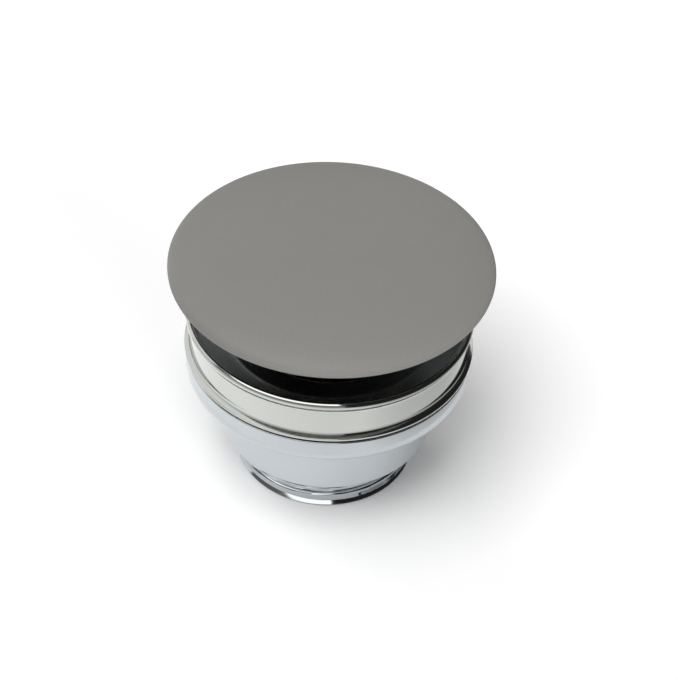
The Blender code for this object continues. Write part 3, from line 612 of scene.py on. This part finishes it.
# Cartridge: threaded brass barrel with a hexagonal head, and the thin nut that clamps it
# in the hub. Both are milled from bar and left as turned. A rubber ring seals the head.
HEX_FLATS = 0.0214
HEAD_HEIGHT = 0.0024
HEX_CHAMFER_DEG = 22.0
BARREL_RADIUS = 0.0086
BARREL_PITCH = 0.0010
BARREL_DEPTH = 0.0004
FINE_ROWS = 8
BARREL_STEPS = 72
LATCH_POCKET_RADIUS = 0.00755
LATCH_POCKET_Z = 0.0246
SLEEVE_RUN = 0.0059
BUSH_SEAT_RADIUS = 0.00725
BUSH_SEAT_Z = 0.03525
CLIP_GROOVE_RADIUS = 0.0077
CLIP_GROOVE_LOW = 0.038125
CLIP_GROOVE_HIGH = 0.038975
RING_RADIUS = 0.00965
RING_SECTION = 0.0005
RING_SIDES = 20
OVERRUN = 0.0010
BRASS = (0.570, 0.380, 0.120)
BRASS_WORN = (0.480, 0.300, 0.085)
BRASS_ROUGHNESS = (0.22, 0.40)
LATHE_STRETCH = (0.03, 0.03, 1)


def turned_metal(name, low_colour, high_colour, smooth, rough):
    """Bare metal with the fine lines of turning, and a slow tarnish."""
    material, tree, shader = make_finish(name, low_colour, smooth, metallic=1.0)
    lines = add_grain(
        tree, shader, scale=5200.0, detail=2.0, depth=0.000003, stretch=LATHE_STRETCH,
    )
    tarnish = add_grain(tree, shader, scale=260.0, detail=4.0, depth=0.000001)
    mix_over(tree, tarnish, low_colour, high_colour, shader.inputs["Base Color"])
    ramp(tree, lines, smooth, rough, shader.inputs["Roughness"])
    return material


def hexagon(across_flats, foot_z, top_z):
    """Hexagonal prism with two flats square to X and its corners turned back at both ends."""
    wide = across_flats / math.sqrt(3)
    flat = across_flats / 2
    rise = (wide - flat) * math.tan(math.radians(HEX_CHAMFER_DEG))
    bm = bmesh.new()
    bmesh.ops.create_circle(bm, cap_ends=True, radius=wide, segments=6)
    raised = bmesh.ops.extrude_face_region(bm, geom=bm.faces[:])
    corners = [v for v in raised["geom"] if isinstance(v, bmesh.types.BMVert)]
    bmesh.ops.translate(bm, verts=corners, vec=(0, 0, top_z - foot_z))
    bmesh.ops.translate(bm, verts=bm.verts, vec=(0, 0, foot_z))
    bmesh.ops.recalc_face_normals(bm, faces=bm.faces)
    body = turned([
        (0, foot_z - OVERRUN),
        (flat, foot_z - OVERRUN),
        (flat, foot_z),
        (wide + OVERRUN, foot_z + rise * 2),
        (wide + OVERRUN, top_z - rise * 2),
        (flat, top_z),
        (flat, top_z + OVERRUN),
        (0, top_z + OVERRUN),
    ], BARREL_STEPS)
    return combine(bm, body, "INTERSECT")


def countersunk_hole(radius, foot_z, top_z, steps):
    """Tool for a hole right through a nut, opened out at both ends."""
    mouth = radius + SMALL_EDGE + OVERRUN
    return turned([
        (0, foot_z - OVERRUN),
        (mouth, foot_z - OVERRUN),
        (radius, foot_z + SMALL_EDGE),
        (radius, top_z - SMALL_EDGE),
        (mouth, top_z + OVERRUN),
        (0, top_z + OVERRUN),
    ], steps)


brass = turned_metal("bare_brass", BRASS, BRASS_WORN, *BRASS_ROUGHNESS)
cartridge_low, cartridge_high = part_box("cartridge_body")
head_foot = cartridge_high.z - HEAD_HEIGHT
barrel_outline = [
    (0, cartridge_low.z),
    (BARREL_RADIUS - BARREL_DEPTH, cartridge_low.z),
    *rows(BARREL_RADIUS, cartridge_low.z + BARREL_DEPTH, head_foot, BARREL_PITCH, FINE_ROWS),
    (BARREL_RADIUS, head_foot + HEAD_HEIGHT / 2),
    (0, head_foot + HEAD_HEIGHT / 2),
]
barrel_bm = turned(barrel_outline, BARREL_STEPS)
cut_thread(
    barrel_bm, BARREL_RADIUS, cartridge_low.z, head_foot - BARREL_PITCH, BARREL_PITCH,
    BARREL_DEPTH, 0, cartridge_low.z,
)
bore_outline = [
    (0, cartridge_low.z - OVERRUN),
    (LATCH_POCKET_RADIUS, cartridge_low.z - OVERRUN),
    (LATCH_POCKET_RADIUS, LATCH_POCKET_Z),
    (SLEEVE_RUN, LATCH_POCKET_Z),
    (SLEEVE_RUN, BUSH_SEAT_Z),
    (BUSH_SEAT_RADIUS, BUSH_SEAT_Z),
    (BUSH_SEAT_RADIUS, CLIP_GROOVE_LOW),
    (CLIP_GROOVE_RADIUS, CLIP_GROOVE_LOW),
    (CLIP_GROOVE_RADIUS, CLIP_GROOVE_HIGH),
    (BUSH_SEAT_RADIUS, CLIP_GROOVE_HIGH),
    (BUSH_SEAT_RADIUS, cartridge_high.z - SMALL_EDGE),
    (BUSH_SEAT_RADIUS + SMALL_EDGE + OVERRUN, cartridge_high.z + OVERRUN),
    (0, cartridge_high.z + OVERRUN),
]
cartridge_bm = combine(hexagon(HEX_FLATS, head_foot, cartridge_high.z), barrel_bm, "UNION")
cartridge_bm = combine(cartridge_bm, turned(bore_outline, BARREL_STEPS), "DIFFERENCE")
place_piece("brass_cartridge", cartridge_bm, brass, "cartridge_body")

nut_low, nut_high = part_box("cartridge_nut")
nut_bore = countersunk_hole(HUB_BORE, nut_low.z, nut_high.z, BARREL_STEPS)
nut_bm = combine(hexagon(HEX_FLATS, nut_low.z, nut_high.z), nut_bore, "DIFFERENCE")
place_piece("brass_clamp_nut", nut_bm, brass, "cartridge_nut")

seal_z = hub_top - RING_SECTION
ring_bm = turned(arc(RING_RADIUS, seal_z, RING_SECTION, 0, 360, RING_SIDES)[1:], HUB_STEPS)
place_piece("head_seal", ring_bm, rubber, "cartridge_o_ring")


# Guide bush and its snap ring, in the cartridge's head.
# The bush is moulded white acetal with a flatted hole; the ring is cut from bright steel wire.
ROD_RADIUS = 0.0044
ROD_HALF_FLAT = 0.0037
RUN_GAP = 0.0003
BUSH_EDGE = 0.00025
CLIP_INNER = 0.0063
CLIP_GAP_DEG = 44.0
CLIP_EDGE = 0.0001
ACETAL = (0.760, 0.760, 0.715)
ACETAL_SHADE = (0.690, 0.690, 0.640)
WHITE_ROUGHNESS = (0.34, 0.48)
STEEL = (0.340, 0.340, 0.345)
STEEL_DARK = (0.240, 0.240, 0.245)
STEEL_ROUGHNESS = (0.22, 0.36)


def moulded_plastic(name, low_colour, high_colour, smooth, rough):
    """Injection-moulded plastic: a soft mottle under a fine spark-eroded grain."""
    material, tree, shader = make_finish(name, low_colour, smooth)
    mottle = add_grain(tree, shader, scale=180.0, detail=3.0, depth=0.000006)
    fine = add_grain(tree, shader, scale=3000.0, detail=3.0, depth=0.000006)
    mix_over(tree, mottle, low_colour, high_colour, shader.inputs["Base Color"])
    ramp(tree, fine, smooth, rough, shader.inputs["Roughness"])
    return material


def flat_sides(bm, half):
    """Mill two flats square to Y."""
    for side in (1, -1):
        cut = bmesh.ops.bisect_plane(
            bm, geom=bm.verts[:] + bm.edges[:] + bm.faces[:], dist=MERGE_DISTANCE,
            plane_co=(0, half * side, 0), plane_no=(0, side, 0), clear_outer=True,
        )
        edges = [e for e in cut["geom_cut"] if isinstance(e, bmesh.types.BMEdge)]
        bmesh.ops.edgeloop_fill(bm, edges=edges)
    bmesh.ops.recalc_face_normals(bm, faces=bm.faces)
    return bm


white_plastic = moulded_plastic("white_moulding", ACETAL, ACETAL_SHADE, *WHITE_ROUGHNESS)
steel = turned_metal("bright_steel", STEEL, STEEL_DARK, *STEEL_ROUGHNESS)
bush_low, bush_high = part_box("guide_bush")
bush_bm = turned(eased([
    (0, bush_low.z),
    (bush_high.x, bush_low.z, BUSH_EDGE),
    (bush_high.x, bush_high.z, BUSH_EDGE),
    (0, bush_high.z),
]), BARREL_STEPS)
bush_hole = turned([
    (0, bush_low.z - OVERRUN),
    (ROD_RADIUS + RUN_GAP, bush_low.z - OVERRUN),
    (ROD_RADIUS + RUN_GAP, bush_high.z + OVERRUN),
    (0, bush_high.z + OVERRUN),
], BARREL_STEPS)
bush_bm = combine(bush_bm, flat_sides(bush_hole, ROD_HALF_FLAT + RUN_GAP), "DIFFERENCE")
place_piece("rod_bush", bush_bm, white_plastic, "guide_bush")

clip_low, clip_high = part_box("retaining_ring")
clip_outer = -clip_low.x
clip_bm = bmesh.new()
clip_section = ring_outline(CLIP_INNER, clip_outer, clip_low.z, clip_high.z, CLIP_EDGE)
clip_face = clip_bm.faces.new([clip_bm.verts.new((r, 0, z)) for r, z in clip_section])
clip_turn = Matrix.Rotation(math.radians(CLIP_GAP_DEG / 2), 3, "Z")
bmesh.ops.rotate(clip_bm, verts=clip_bm.verts, cent=(0, 0, 0), matrix=clip_turn)
bmesh.ops.spin(
    clip_bm, geom=[clip_face], cent=(0, 0, 0), axis=(0, 0, 1),
    angle=math.radians(360 - CLIP_GAP_DEG), steps=BARREL_STEPS,
)
bmesh.ops.recalc_face_normals(clip_bm, faces=clip_bm.faces)
place_piece("snap_ring", clip_bm, steel, "retaining_ring")


# Spring seat, latch ring and return spring, in the cartridge's lower half.
# The seat is a white moulded cup; the ring is black acetal with two inward lugs.
# The spring is steel wire with closed end coils.
SEAT_RADIUS = 0.00725
SEAT_WALL = 0.00115
SEAT_FLANGE = 0.0010
SEAT_FLOOR = 0.0018
DRAIN_RADIUS = 0.0015
LATCH_INNER = 0.0059
LUG_TIP = 0.0049
LUG_RADIUS = 0.0007
LUG_SIDES = 24
LATCH_EDGE = 0.0002
WIRE_RADIUS = 0.0005
WIRE_SIDES = 14
COIL_RADIUS = 0.0025
COIL_TURNS = 8.5
COIL_STEPS = 28
CLOSED_TURNS = 1
CLOSED_PITCH = 0.00104
BLACK_ACETAL = (0.0105, 0.0105, 0.0115)
BLACK_ACETAL_SHADE = (0.0080, 0.0080, 0.0090)
BLACK_ROUGHNESS = (0.38, 0.52)

black_plastic = moulded_plastic(
    "black_moulding", BLACK_ACETAL, BLACK_ACETAL_SHADE, *BLACK_ROUGHNESS,
)
seat_low, seat_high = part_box("spring_seat")
seat_bm = turned(eased([
    (DRAIN_RADIUS, seat_low.z, LATCH_EDGE),
    (seat_high.x, seat_low.z, LATCH_EDGE),
    (seat_high.x, seat_low.z + SEAT_FLANGE, LATCH_EDGE),
    (SEAT_RADIUS, seat_low.z + SEAT_FLANGE, LATCH_EDGE),
    (SEAT_RADIUS, seat_high.z, LATCH_EDGE),
    (SEAT_RADIUS - SEAT_WALL, seat_high.z, LATCH_EDGE),
    (SEAT_RADIUS - SEAT_WALL, seat_low.z + SEAT_FLOOR, LATCH_EDGE),
    (DRAIN_RADIUS, seat_low.z + SEAT_FLOOR, LATCH_EDGE),
]), BARREL_STEPS)
place_piece("spring_cup", seat_bm, white_plastic, "spring_seat")

latch_low, latch_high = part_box("latch_ring")
latch_middle = (latch_low.z + latch_high.z) / 2
latch_outline = ring_outline(LATCH_INNER, latch_high.x, latch_low.z, latch_high.z, LATCH_EDGE)
latch_bm = turned(latch_outline, BARREL_STEPS)
lug_root = (LATCH_INNER + latch_high.x) / 2
for side in (1, -1):
    lug = bmesh.new()
    bmesh.ops.create_cone(
        lug, cap_ends=True, segments=LUG_SIDES, radius1=LUG_RADIUS, radius2=LUG_RADIUS,
        depth=lug_root - LUG_TIP, matrix=Matrix.Rotation(math.pi / 2, 4, "Y"),
    )
    lug_place = (side * (lug_root + LUG_TIP) / 2, 0, latch_middle)
    bmesh.ops.translate(lug, verts=lug.verts, vec=lug_place)
    latch_bm = combine(latch_bm, lug, "UNION")
place_piece("lugged_ring", latch_bm, black_plastic, "latch_ring")

spring_low, spring_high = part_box("plunger_spring")
spring_height = spring_high.z - spring_low.z
spring_bm = bmesh.new()
wire_turn = Matrix.Rotation(math.pi / 2, 4, "X")
wire_place = Matrix.Translation((COIL_RADIUS, 0, spring_low.z + WIRE_RADIUS))
bmesh.ops.create_circle(
    spring_bm, cap_ends=True, radius=WIRE_RADIUS, segments=WIRE_SIDES,
    matrix=wire_place @ wire_turn,
)
open_turns = COIL_TURNS - 2 * CLOSED_TURNS
open_rise = spring_height - 2 * WIRE_RADIUS - 2 * CLOSED_TURNS * CLOSED_PITCH
closed_coils = (CLOSED_TURNS, CLOSED_TURNS * CLOSED_PITCH)
wire_end = spring_bm.faces[:]
for turns, rise in (closed_coils, (open_turns, open_rise), closed_coils):
    steps = round(turns * COIL_STEPS)
    made = bmesh.ops.spin(
        spring_bm, geom=wire_end, cent=(0, 0, 0), axis=(0, 0, 1), dvec=(0, 0, rise / steps),
        angle=2 * math.pi * turns, steps=steps,
    )
    wire_end = [f for f in made["geom_last"] if isinstance(f, bmesh.types.BMFace)]
bmesh.ops.recalc_face_normals(spring_bm, faces=spring_bm.faces)
spring = place_piece("coil_spring", spring_bm, steel, "plunger_spring")
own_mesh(spring)


# Plunger: flatted steel rod riveted into the moulded cam sleeve, and the threaded stud and
# lock nut that set the cover's height. The sleeve keeps its solid, whose zigzag track is cut
# to size there.
RIVET_RADIUS = 0.0030
RIVET_HEIGHT = 0.0006
SPIGOT_RADIUS = 0.0023
ROD_FOOT = 0.03545
STUD_RADIUS = 0.00285
STUD_PITCH = 0.0008
STUD_DEPTH = 0.00035
STUD_HOLE = 0.00315
STUD_SEAT = 0.0422
STUD_STEPS = 56
LOCK_NUT_FLATS = 0.0100

sleeve = frame["nodes"]["cam_sleeve"]
sleeve.data.materials.clear()
sleeve.data.materials.append(white_plastic)

rod_low, rod_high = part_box("plunger_rod")
rod_outline = eased([
    (0, rod_low.z),
    (RIVET_RADIUS, rod_low.z, CLIP_EDGE),
    (RIVET_RADIUS, rod_low.z + RIVET_HEIGHT, CLIP_EDGE),
    (SPIGOT_RADIUS, rod_low.z + RIVET_HEIGHT),
    (SPIGOT_RADIUS, ROD_FOOT),
    (ROD_RADIUS, ROD_FOOT, LATCH_EDGE),
    (ROD_RADIUS, rod_high.z, LATCH_EDGE),
    (STUD_HOLE, rod_high.z, LATCH_EDGE),
    (STUD_HOLE, STUD_SEAT),
    (0, STUD_SEAT),
])
rod_bm = flat_sides(turned(rod_outline, BARREL_STEPS), ROD_HALF_FLAT)
place_piece("flatted_rod", rod_bm, steel, "plunger_rod")

stud_low, stud_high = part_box("cap_stud")
stud_outline = [
    (0, stud_low.z),
    (STUD_RADIUS - STUD_DEPTH, stud_low.z),
    *rows(STUD_RADIUS, stud_low.z + STUD_DEPTH, stud_high.z - STUD_DEPTH, STUD_PITCH, FINE_ROWS),
    (STUD_RADIUS - STUD_DEPTH, stud_high.z),
    (0, stud_high.z),
]
stud_bm = turned(stud_outline, STUD_STEPS)
cut_thread(stud_bm, STUD_RADIUS, stud_low.z, stud_high.z, STUD_PITCH, STUD_DEPTH, 0, stud_low.z)
place_piece("threaded_stud", stud_bm, steel, "cap_stud")

lock_low, lock_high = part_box("cap_lock_nut")
lock_hole = countersunk_hole(STUD_HOLE, lock_low.z, lock_high.z, STUD_STEPS)
lock_bm = combine(hexagon(LOCK_NUT_FLATS, lock_low.z, lock_high.z), lock_hole, "DIFFERENCE")
place_piece("lock_nut", lock_bm, steel, "cap_lock_nut")


# Plug: black moulded base with the rubber seal in its groove, bonded by a foam ring.
# The seal tapers to a round lip that meets the slope of the dish.
BASE_FOOT_RADIUS = 0.0233
BASE_BODY_RADIUS = 0.0219
BASE_POCKET_RADIUS = 0.012856
BASE_PLATE_RADIUS = 0.0267
BASE_POCKET_TOP = 0.05325
BASE_PLATE = 0.0018
BASE_FOOT_LAND = 0.0016
BASE_CHAMFER = 0.0007
BASE_EDGE = 0.0002
GROOVE_TOP = 0.0510
SEAL_GAP = 0.00025
SEAL_TIP = 0.00035
SEAL_TIP_STEPS = 10
PAD_INNER = 0.00615
FOAM = (0.740, 0.740, 0.705)
FOAM_SHADE = (0.600, 0.600, 0.560)
FOAM_ROUGHNESS = (0.92, 0.78)

base_low, base_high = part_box("plug_base")
groove_foot = base_low.z + BASE_FOOT_LAND
plate_foot = base_high.z - BASE_PLATE
base_bm = turned(eased([
    (STUD_HOLE, base_high.z, BASE_EDGE),
    (STUD_HOLE, BASE_POCKET_TOP, BASE_EDGE),
    (BASE_POCKET_RADIUS, BASE_POCKET_TOP, BASE_EDGE),
    (BASE_POCKET_RADIUS, base_low.z, BASE_EDGE),
    (BASE_FOOT_RADIUS - BASE_CHAMFER, base_low.z, BASE_EDGE),
    (BASE_FOOT_RADIUS, base_low.z + BASE_CHAMFER, BASE_EDGE),
    (BASE_FOOT_RADIUS, groove_foot, BASE_EDGE),
    (BASE_BODY_RADIUS, groove_foot),
    (BASE_BODY_RADIUS, GROOVE_TOP),
    (BASE_FOOT_RADIUS, GROOVE_TOP, BASE_EDGE),
    (BASE_FOOT_RADIUS, GROOVE_TOP + BASE_CHAMFER, BASE_EDGE),
    (BASE_BODY_RADIUS, GROOVE_TOP + 2 * BASE_CHAMFER, BASE_EDGE),
    (BASE_BODY_RADIUS, plate_foot, BASE_CHAMFER),
    (BASE_PLATE_RADIUS, plate_foot, BASE_EDGE),
    (BASE_PLATE_RADIUS, base_high.z, BASE_EDGE),
]))
place_piece("moulded_base", base_bm, black_plastic, "plug_base")

lip_low, lip_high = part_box("plug_seal")
seal_bm = turned([
    (BASE_BODY_RADIUS + SEAL_GAP, lip_low.z),
    *arc(lip_high.x - SEAL_TIP, lip_low.z + SEAL_TIP, SEAL_TIP, -90, 90, SEAL_TIP_STEPS),
    (BASE_FOOT_RADIUS, lip_high.z),
    (BASE_BODY_RADIUS + SEAL_GAP, lip_high.z),
])
place_piece("tapered_seal", seal_bm, rubber, "plug_seal")

foam, foam_tree, foam_shader = make_finish("foam_tape", FOAM, FOAM_ROUGHNESS[0])
foam_cells = add_grain(foam_tree, foam_shader, scale=2400.0, detail=2.0, depth=0.00006)
mix_over(foam_tree, foam_cells, FOAM_SHADE, FOAM, foam_shader.inputs["Base Color"])
ramp(foam_tree, foam_cells, *FOAM_ROUGHNESS, foam_shader.inputs["Roughness"])
pad_low, pad_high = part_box("bonding_pad")
pad_bm = turned(ring_outline(PAD_INNER, pad_high.x, pad_low.z, pad_high.z, CLIP_EDGE))
place_piece("foam_ring", pad_bm, foam, "bonding_pad")


# Ceramic cover: a shallow dome, pressed, glazed matt grey and fired.
# Its edge is rounded all round, and a recess below takes the moulded base.
COVER_EDGE = 0.0014
COVER_EDGE_END_DEG = -6
COVER_CROWN_POWER = 2.3
COVER_RECESS_RADIUS = 0.0270
COVER_RECESS_DEPTH = 0.0023
CROWN_STEPS = 30
CERAMIC = (0.222, 0.217, 0.203)
SPECK_SHADE = 0.965
SPECK_LIGHT = 1.035
GLAZE_ROUGHNESS = (0.52, 0.60)


def shade(colour, factor):
    """A colour made lighter or darker."""
    return tuple(c * factor for c in colour)


def matt_glaze():
    """Matt glaze: a soft mottle, fine specks and a dry, even sheen."""
    material, tree, shader = make_finish("matt_grey_glaze", CERAMIC, GLAZE_ROUGHNESS[0])
    mottle = add_grain(tree, shader, scale=90.0, detail=3.0, depth=0.000012)
    specks = add_grain(tree, shader, scale=2600.0, detail=4.0, depth=0.000006)
    dark_speck, light_speck = shade(CERAMIC, SPECK_SHADE), shade(CERAMIC, SPECK_LIGHT)
    mix_over(tree, specks, dark_speck, light_speck, shader.inputs["Base Color"])
    ramp(tree, mottle, *GLAZE_ROUGHNESS, shader.inputs["Roughness"])
    return material


cover_low, cover_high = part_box("ceramic_cap")
cover_radius = cover_high.x
widest_z = cover_low.z + COVER_EDGE
crown_height = cover_high.z - widest_z
recess_z = cover_low.z + COVER_RECESS_DEPTH
crown = []
for i in range(CROWN_STEPS + 1):
    lift = math.sin(math.pi / 2 * i / CROWN_STEPS)
    radius = cover_radius * (1 - lift ** COVER_CROWN_POWER) ** (1 / COVER_CROWN_POWER)
    crown.append((radius, widest_z + crown_height * lift))
cover_outline = [
    (0, recess_z),
    (COVER_RECESS_RADIUS, recess_z),
    (COVER_RECESS_RADIUS, cover_low.z),
    *arc(cover_radius - COVER_EDGE, widest_z, COVER_EDGE, -90, COVER_EDGE_END_DEG),
    *crown,
]
place_piece("glazed_cover", turned(cover_outline), matt_glaze(), "ceramic_cap")


# Floor: a plain white table under an even sky. The camera and the metal see both of them
# white, and the table keeps the shadow.
FLOOR_SIDE = 1.4
FLOOR_WHITE = 1.08
FLOOR_BOUNCE = 0.75
SKY_FILL = 0.27
MATT = 1.0


def seen_directly(tree):
    """1 for what the camera sees, itself or in metal or glass, and 0 for all other light."""
    path = tree.nodes.new("ShaderNodeLightPath")
    seen = path.outputs["Is Camera Ray"]
    for operation, other in (
        ("MAXIMUM", "Is Glossy Ray"),
        ("MAXIMUM", "Is Transmission Ray"),
        ("SUBTRACT", "Diffuse Depth"),
    ):
        step = tree.nodes.new("ShaderNodeMath")
        step.operation = operation
        tree.links.new(seen, step.inputs[0])
        tree.links.new(path.outputs[other], step.inputs[1])
        seen = step.outputs[0]
    step.use_clamp = True
    return seen


floor_bm = bmesh.new()
bmesh.ops.create_grid(floor_bm, x_segments=1, y_segments=1, size=FLOOR_SIDE / 2)
floor = mesh_object("floor", floor_bm)
table, table_tree, table_shader = make_finish("white_table", (FLOOR_WHITE,) * 3, MATT)
table_shader.inputs["Specular IOR Level"].default_value = 0.0
mix_over(
    table_tree, seen_directly(table_tree), (FLOOR_BOUNCE,) * 3, (FLOOR_WHITE,) * 3,
    table_shader.inputs["Base Color"],
)
floor.data.materials.append(table)

world = bpy.data.worlds.new("studio")
world.use_nodes = True
bpy.context.scene.world = world
background = world.node_tree.nodes["Background"]
background.inputs["Color"].default_value = (1, 1, 1, 1)
ramp(world.node_tree, seen_directly(world.node_tree), SKY_FILL, 1.0, background.inputs["Strength"])


# Cards: bright and dark panels on a dome round the table and flat on it, which only the metal
# mirrors. A bright one stands high at the front left, rings on the table light the outer bands,
# and the dark ones at the right and the back draw the chrome's black lines.
CARD_RADIUS = 1.3
CARD_STEPS = 48
CARD_RISE_STEPS = 12
CARD_LIFT = 0.0004
TABLE_NEAR_EDGE = 0.055
TABLE_EDGE = 0.13
BACK_TABLE_EDGE = 0.26
BRIGHT = 1.9
FRONT_FOOT = 0.62
FRONT_TOP = 0.15
NEAR_LEFT = 1.18
NEAR_MIDDLE = 1.0
NEAR_RIGHT_SHADOW = 0.43
FAR_TABLE = 0.78
DIM = 0.12
BLACK = 0.02


def card(name, level, azimuths, elevations=None, radii=None, fade=None):
    """Card on the dome between two elevations, or flat on the table between two radii.

    A fade is (axis, start, length, end level): the light goes to that level along the axis.
    """
    bm = bmesh.new()
    if radii:
        section = [(r, CARD_LIFT) for r in radii]
    else:
        section = arc(0, 0, CARD_RADIUS, *elevations, CARD_RISE_STEPS)
    points = [bm.verts.new((r, 0, z)) for r, z in section]
    edges = [bm.edges.new(pair) for pair in zip(points, points[1:])]
    turn = Matrix.Rotation(math.radians(azimuths[0]), 3, "Z")
    bmesh.ops.rotate(bm, verts=bm.verts, cent=(0, 0, 0), matrix=turn)
    bmesh.ops.spin(
        bm, geom=points + edges, cent=(0, 0, 0), axis=(0, 0, 1),
        angle=math.radians(azimuths[1] - azimuths[0]), steps=CARD_STEPS,
    )
    made = mesh_object(name, bm)
    material, tree, shader = make_finish(name, (0, 0, 0), MATT)
    shader.inputs["Specular IOR Level"].default_value = 0.0
    shader.inputs["Emission Color"].default_value = (1, 1, 1, 1)
    shader.inputs["Emission Strength"].default_value = level
    if fade:
        axis, first, length, last_level = fade
        place = tree.nodes.new("ShaderNodeTexCoord")
        split = tree.nodes.new("ShaderNodeSeparateXYZ")
        tree.links.new(place.outputs["Object"], split.inputs[0])
        ramp(
            tree, split.outputs[axis], level, last_level, shader.inputs["Emission Strength"],
            first, first + length,
        )
    made.data.materials.append(material)
    for ray in ("camera", "diffuse", "shadow", "transmission", "volume_scatter"):
        setattr(made, "visible_" + ray, False)


near_ring = (TABLE_NEAR_EDGE, TABLE_EDGE)
far_ring = (TABLE_EDGE, CARD_RADIUS)
back_ring = (BACK_TABLE_EDGE, CARD_RADIUS)
card("bright_card", BRIGHT, azimuths=(186, 283.5), elevations=(44.5, 66))
card(
    "front_card", FRONT_FOOT, azimuths=(176, 283.5), elevations=(0, 44.5),
    fade=("Z", 0.0, 0.35, FRONT_TOP),
)
card(
    "near_left_card", NEAR_LEFT, azimuths=(90, 270), radii=near_ring,
    fade=("X", -0.066, 0.066, NEAR_MIDDLE),
)
# Painted shadow: the near right ring dims towards the right, for the table's shadow as the metal
# mirrors it.
card(
    "near_right_card", NEAR_MIDDLE, azimuths=(270, 450), radii=near_ring,
    fade=("X", 0.028, 0.057, NEAR_RIGHT_SHADOW),
)
card("table_card", FAR_TABLE, azimuths=(163, 450), radii=far_ring, fade=("X", 0.04, 0.14, BLACK))
card("right_card", BLACK, azimuths=(283.5, 405), elevations=(0, 76))
card("right_high_card", BLACK, azimuths=(405, 425), elevations=(26, 46))
card("back_card", BLACK, azimuths=(442, 490), elevations=(0, 20))
card("left_card", DIM, azimuths=(135, 176), elevations=(0, 8))
card("back_table_card", BLACK, azimuths=(450, 490), radii=back_ring)


# Lamps: a wide soft box high at the front left, and two low ones that soften its shadow.
# Levels, sizes and directions follow the shadow in the photograph.
LAMP_DISTANCE = 6.0


def soft_box(name, level, azimuth_deg, elevation_deg, width, height):
    """Area lamp aimed at the waste, sized per metre of distance. Metal doesn't mirror it."""
    data = bpy.data.lights.new(name, "AREA")
    data.shape = "RECTANGLE"
    data.size = width * LAMP_DISTANCE
    data.size_y = height * LAMP_DISTANCE
    data.energy = level * math.pi * data.size * data.size_y
    turn = math.radians(azimuth_deg)
    rise = math.radians(elevation_deg)
    flat = math.cos(rise)
    out = Vector((math.cos(turn) * flat, math.sin(turn) * flat, math.sin(rise)))
    side = Vector((-math.sin(turn), math.cos(turn), 0))
    facing = Matrix((side, out.cross(side), out)).transposed().to_4x4()
    made = bpy.data.objects.new(name, data)
    made.matrix_world = Matrix.Translation(out * LAMP_DISTANCE) @ facing
    made.visible_glossy = False
    bpy.context.scene.collection.objects.link(made)


soft_box(
    "soft_box", level=4.55, azimuth_deg=228, elevation_deg=67, width=0.64, height=0.80,
)
for name, level, azimuth_deg in (("left_fill", 7.8, 131), ("right_fill", 10.5, 310)):
    soft_box(name, level, azimuth_deg, elevation_deg=9.6, width=0.50, height=0.33)


bpy.context.scene.view_settings.view_transform = "Standard"
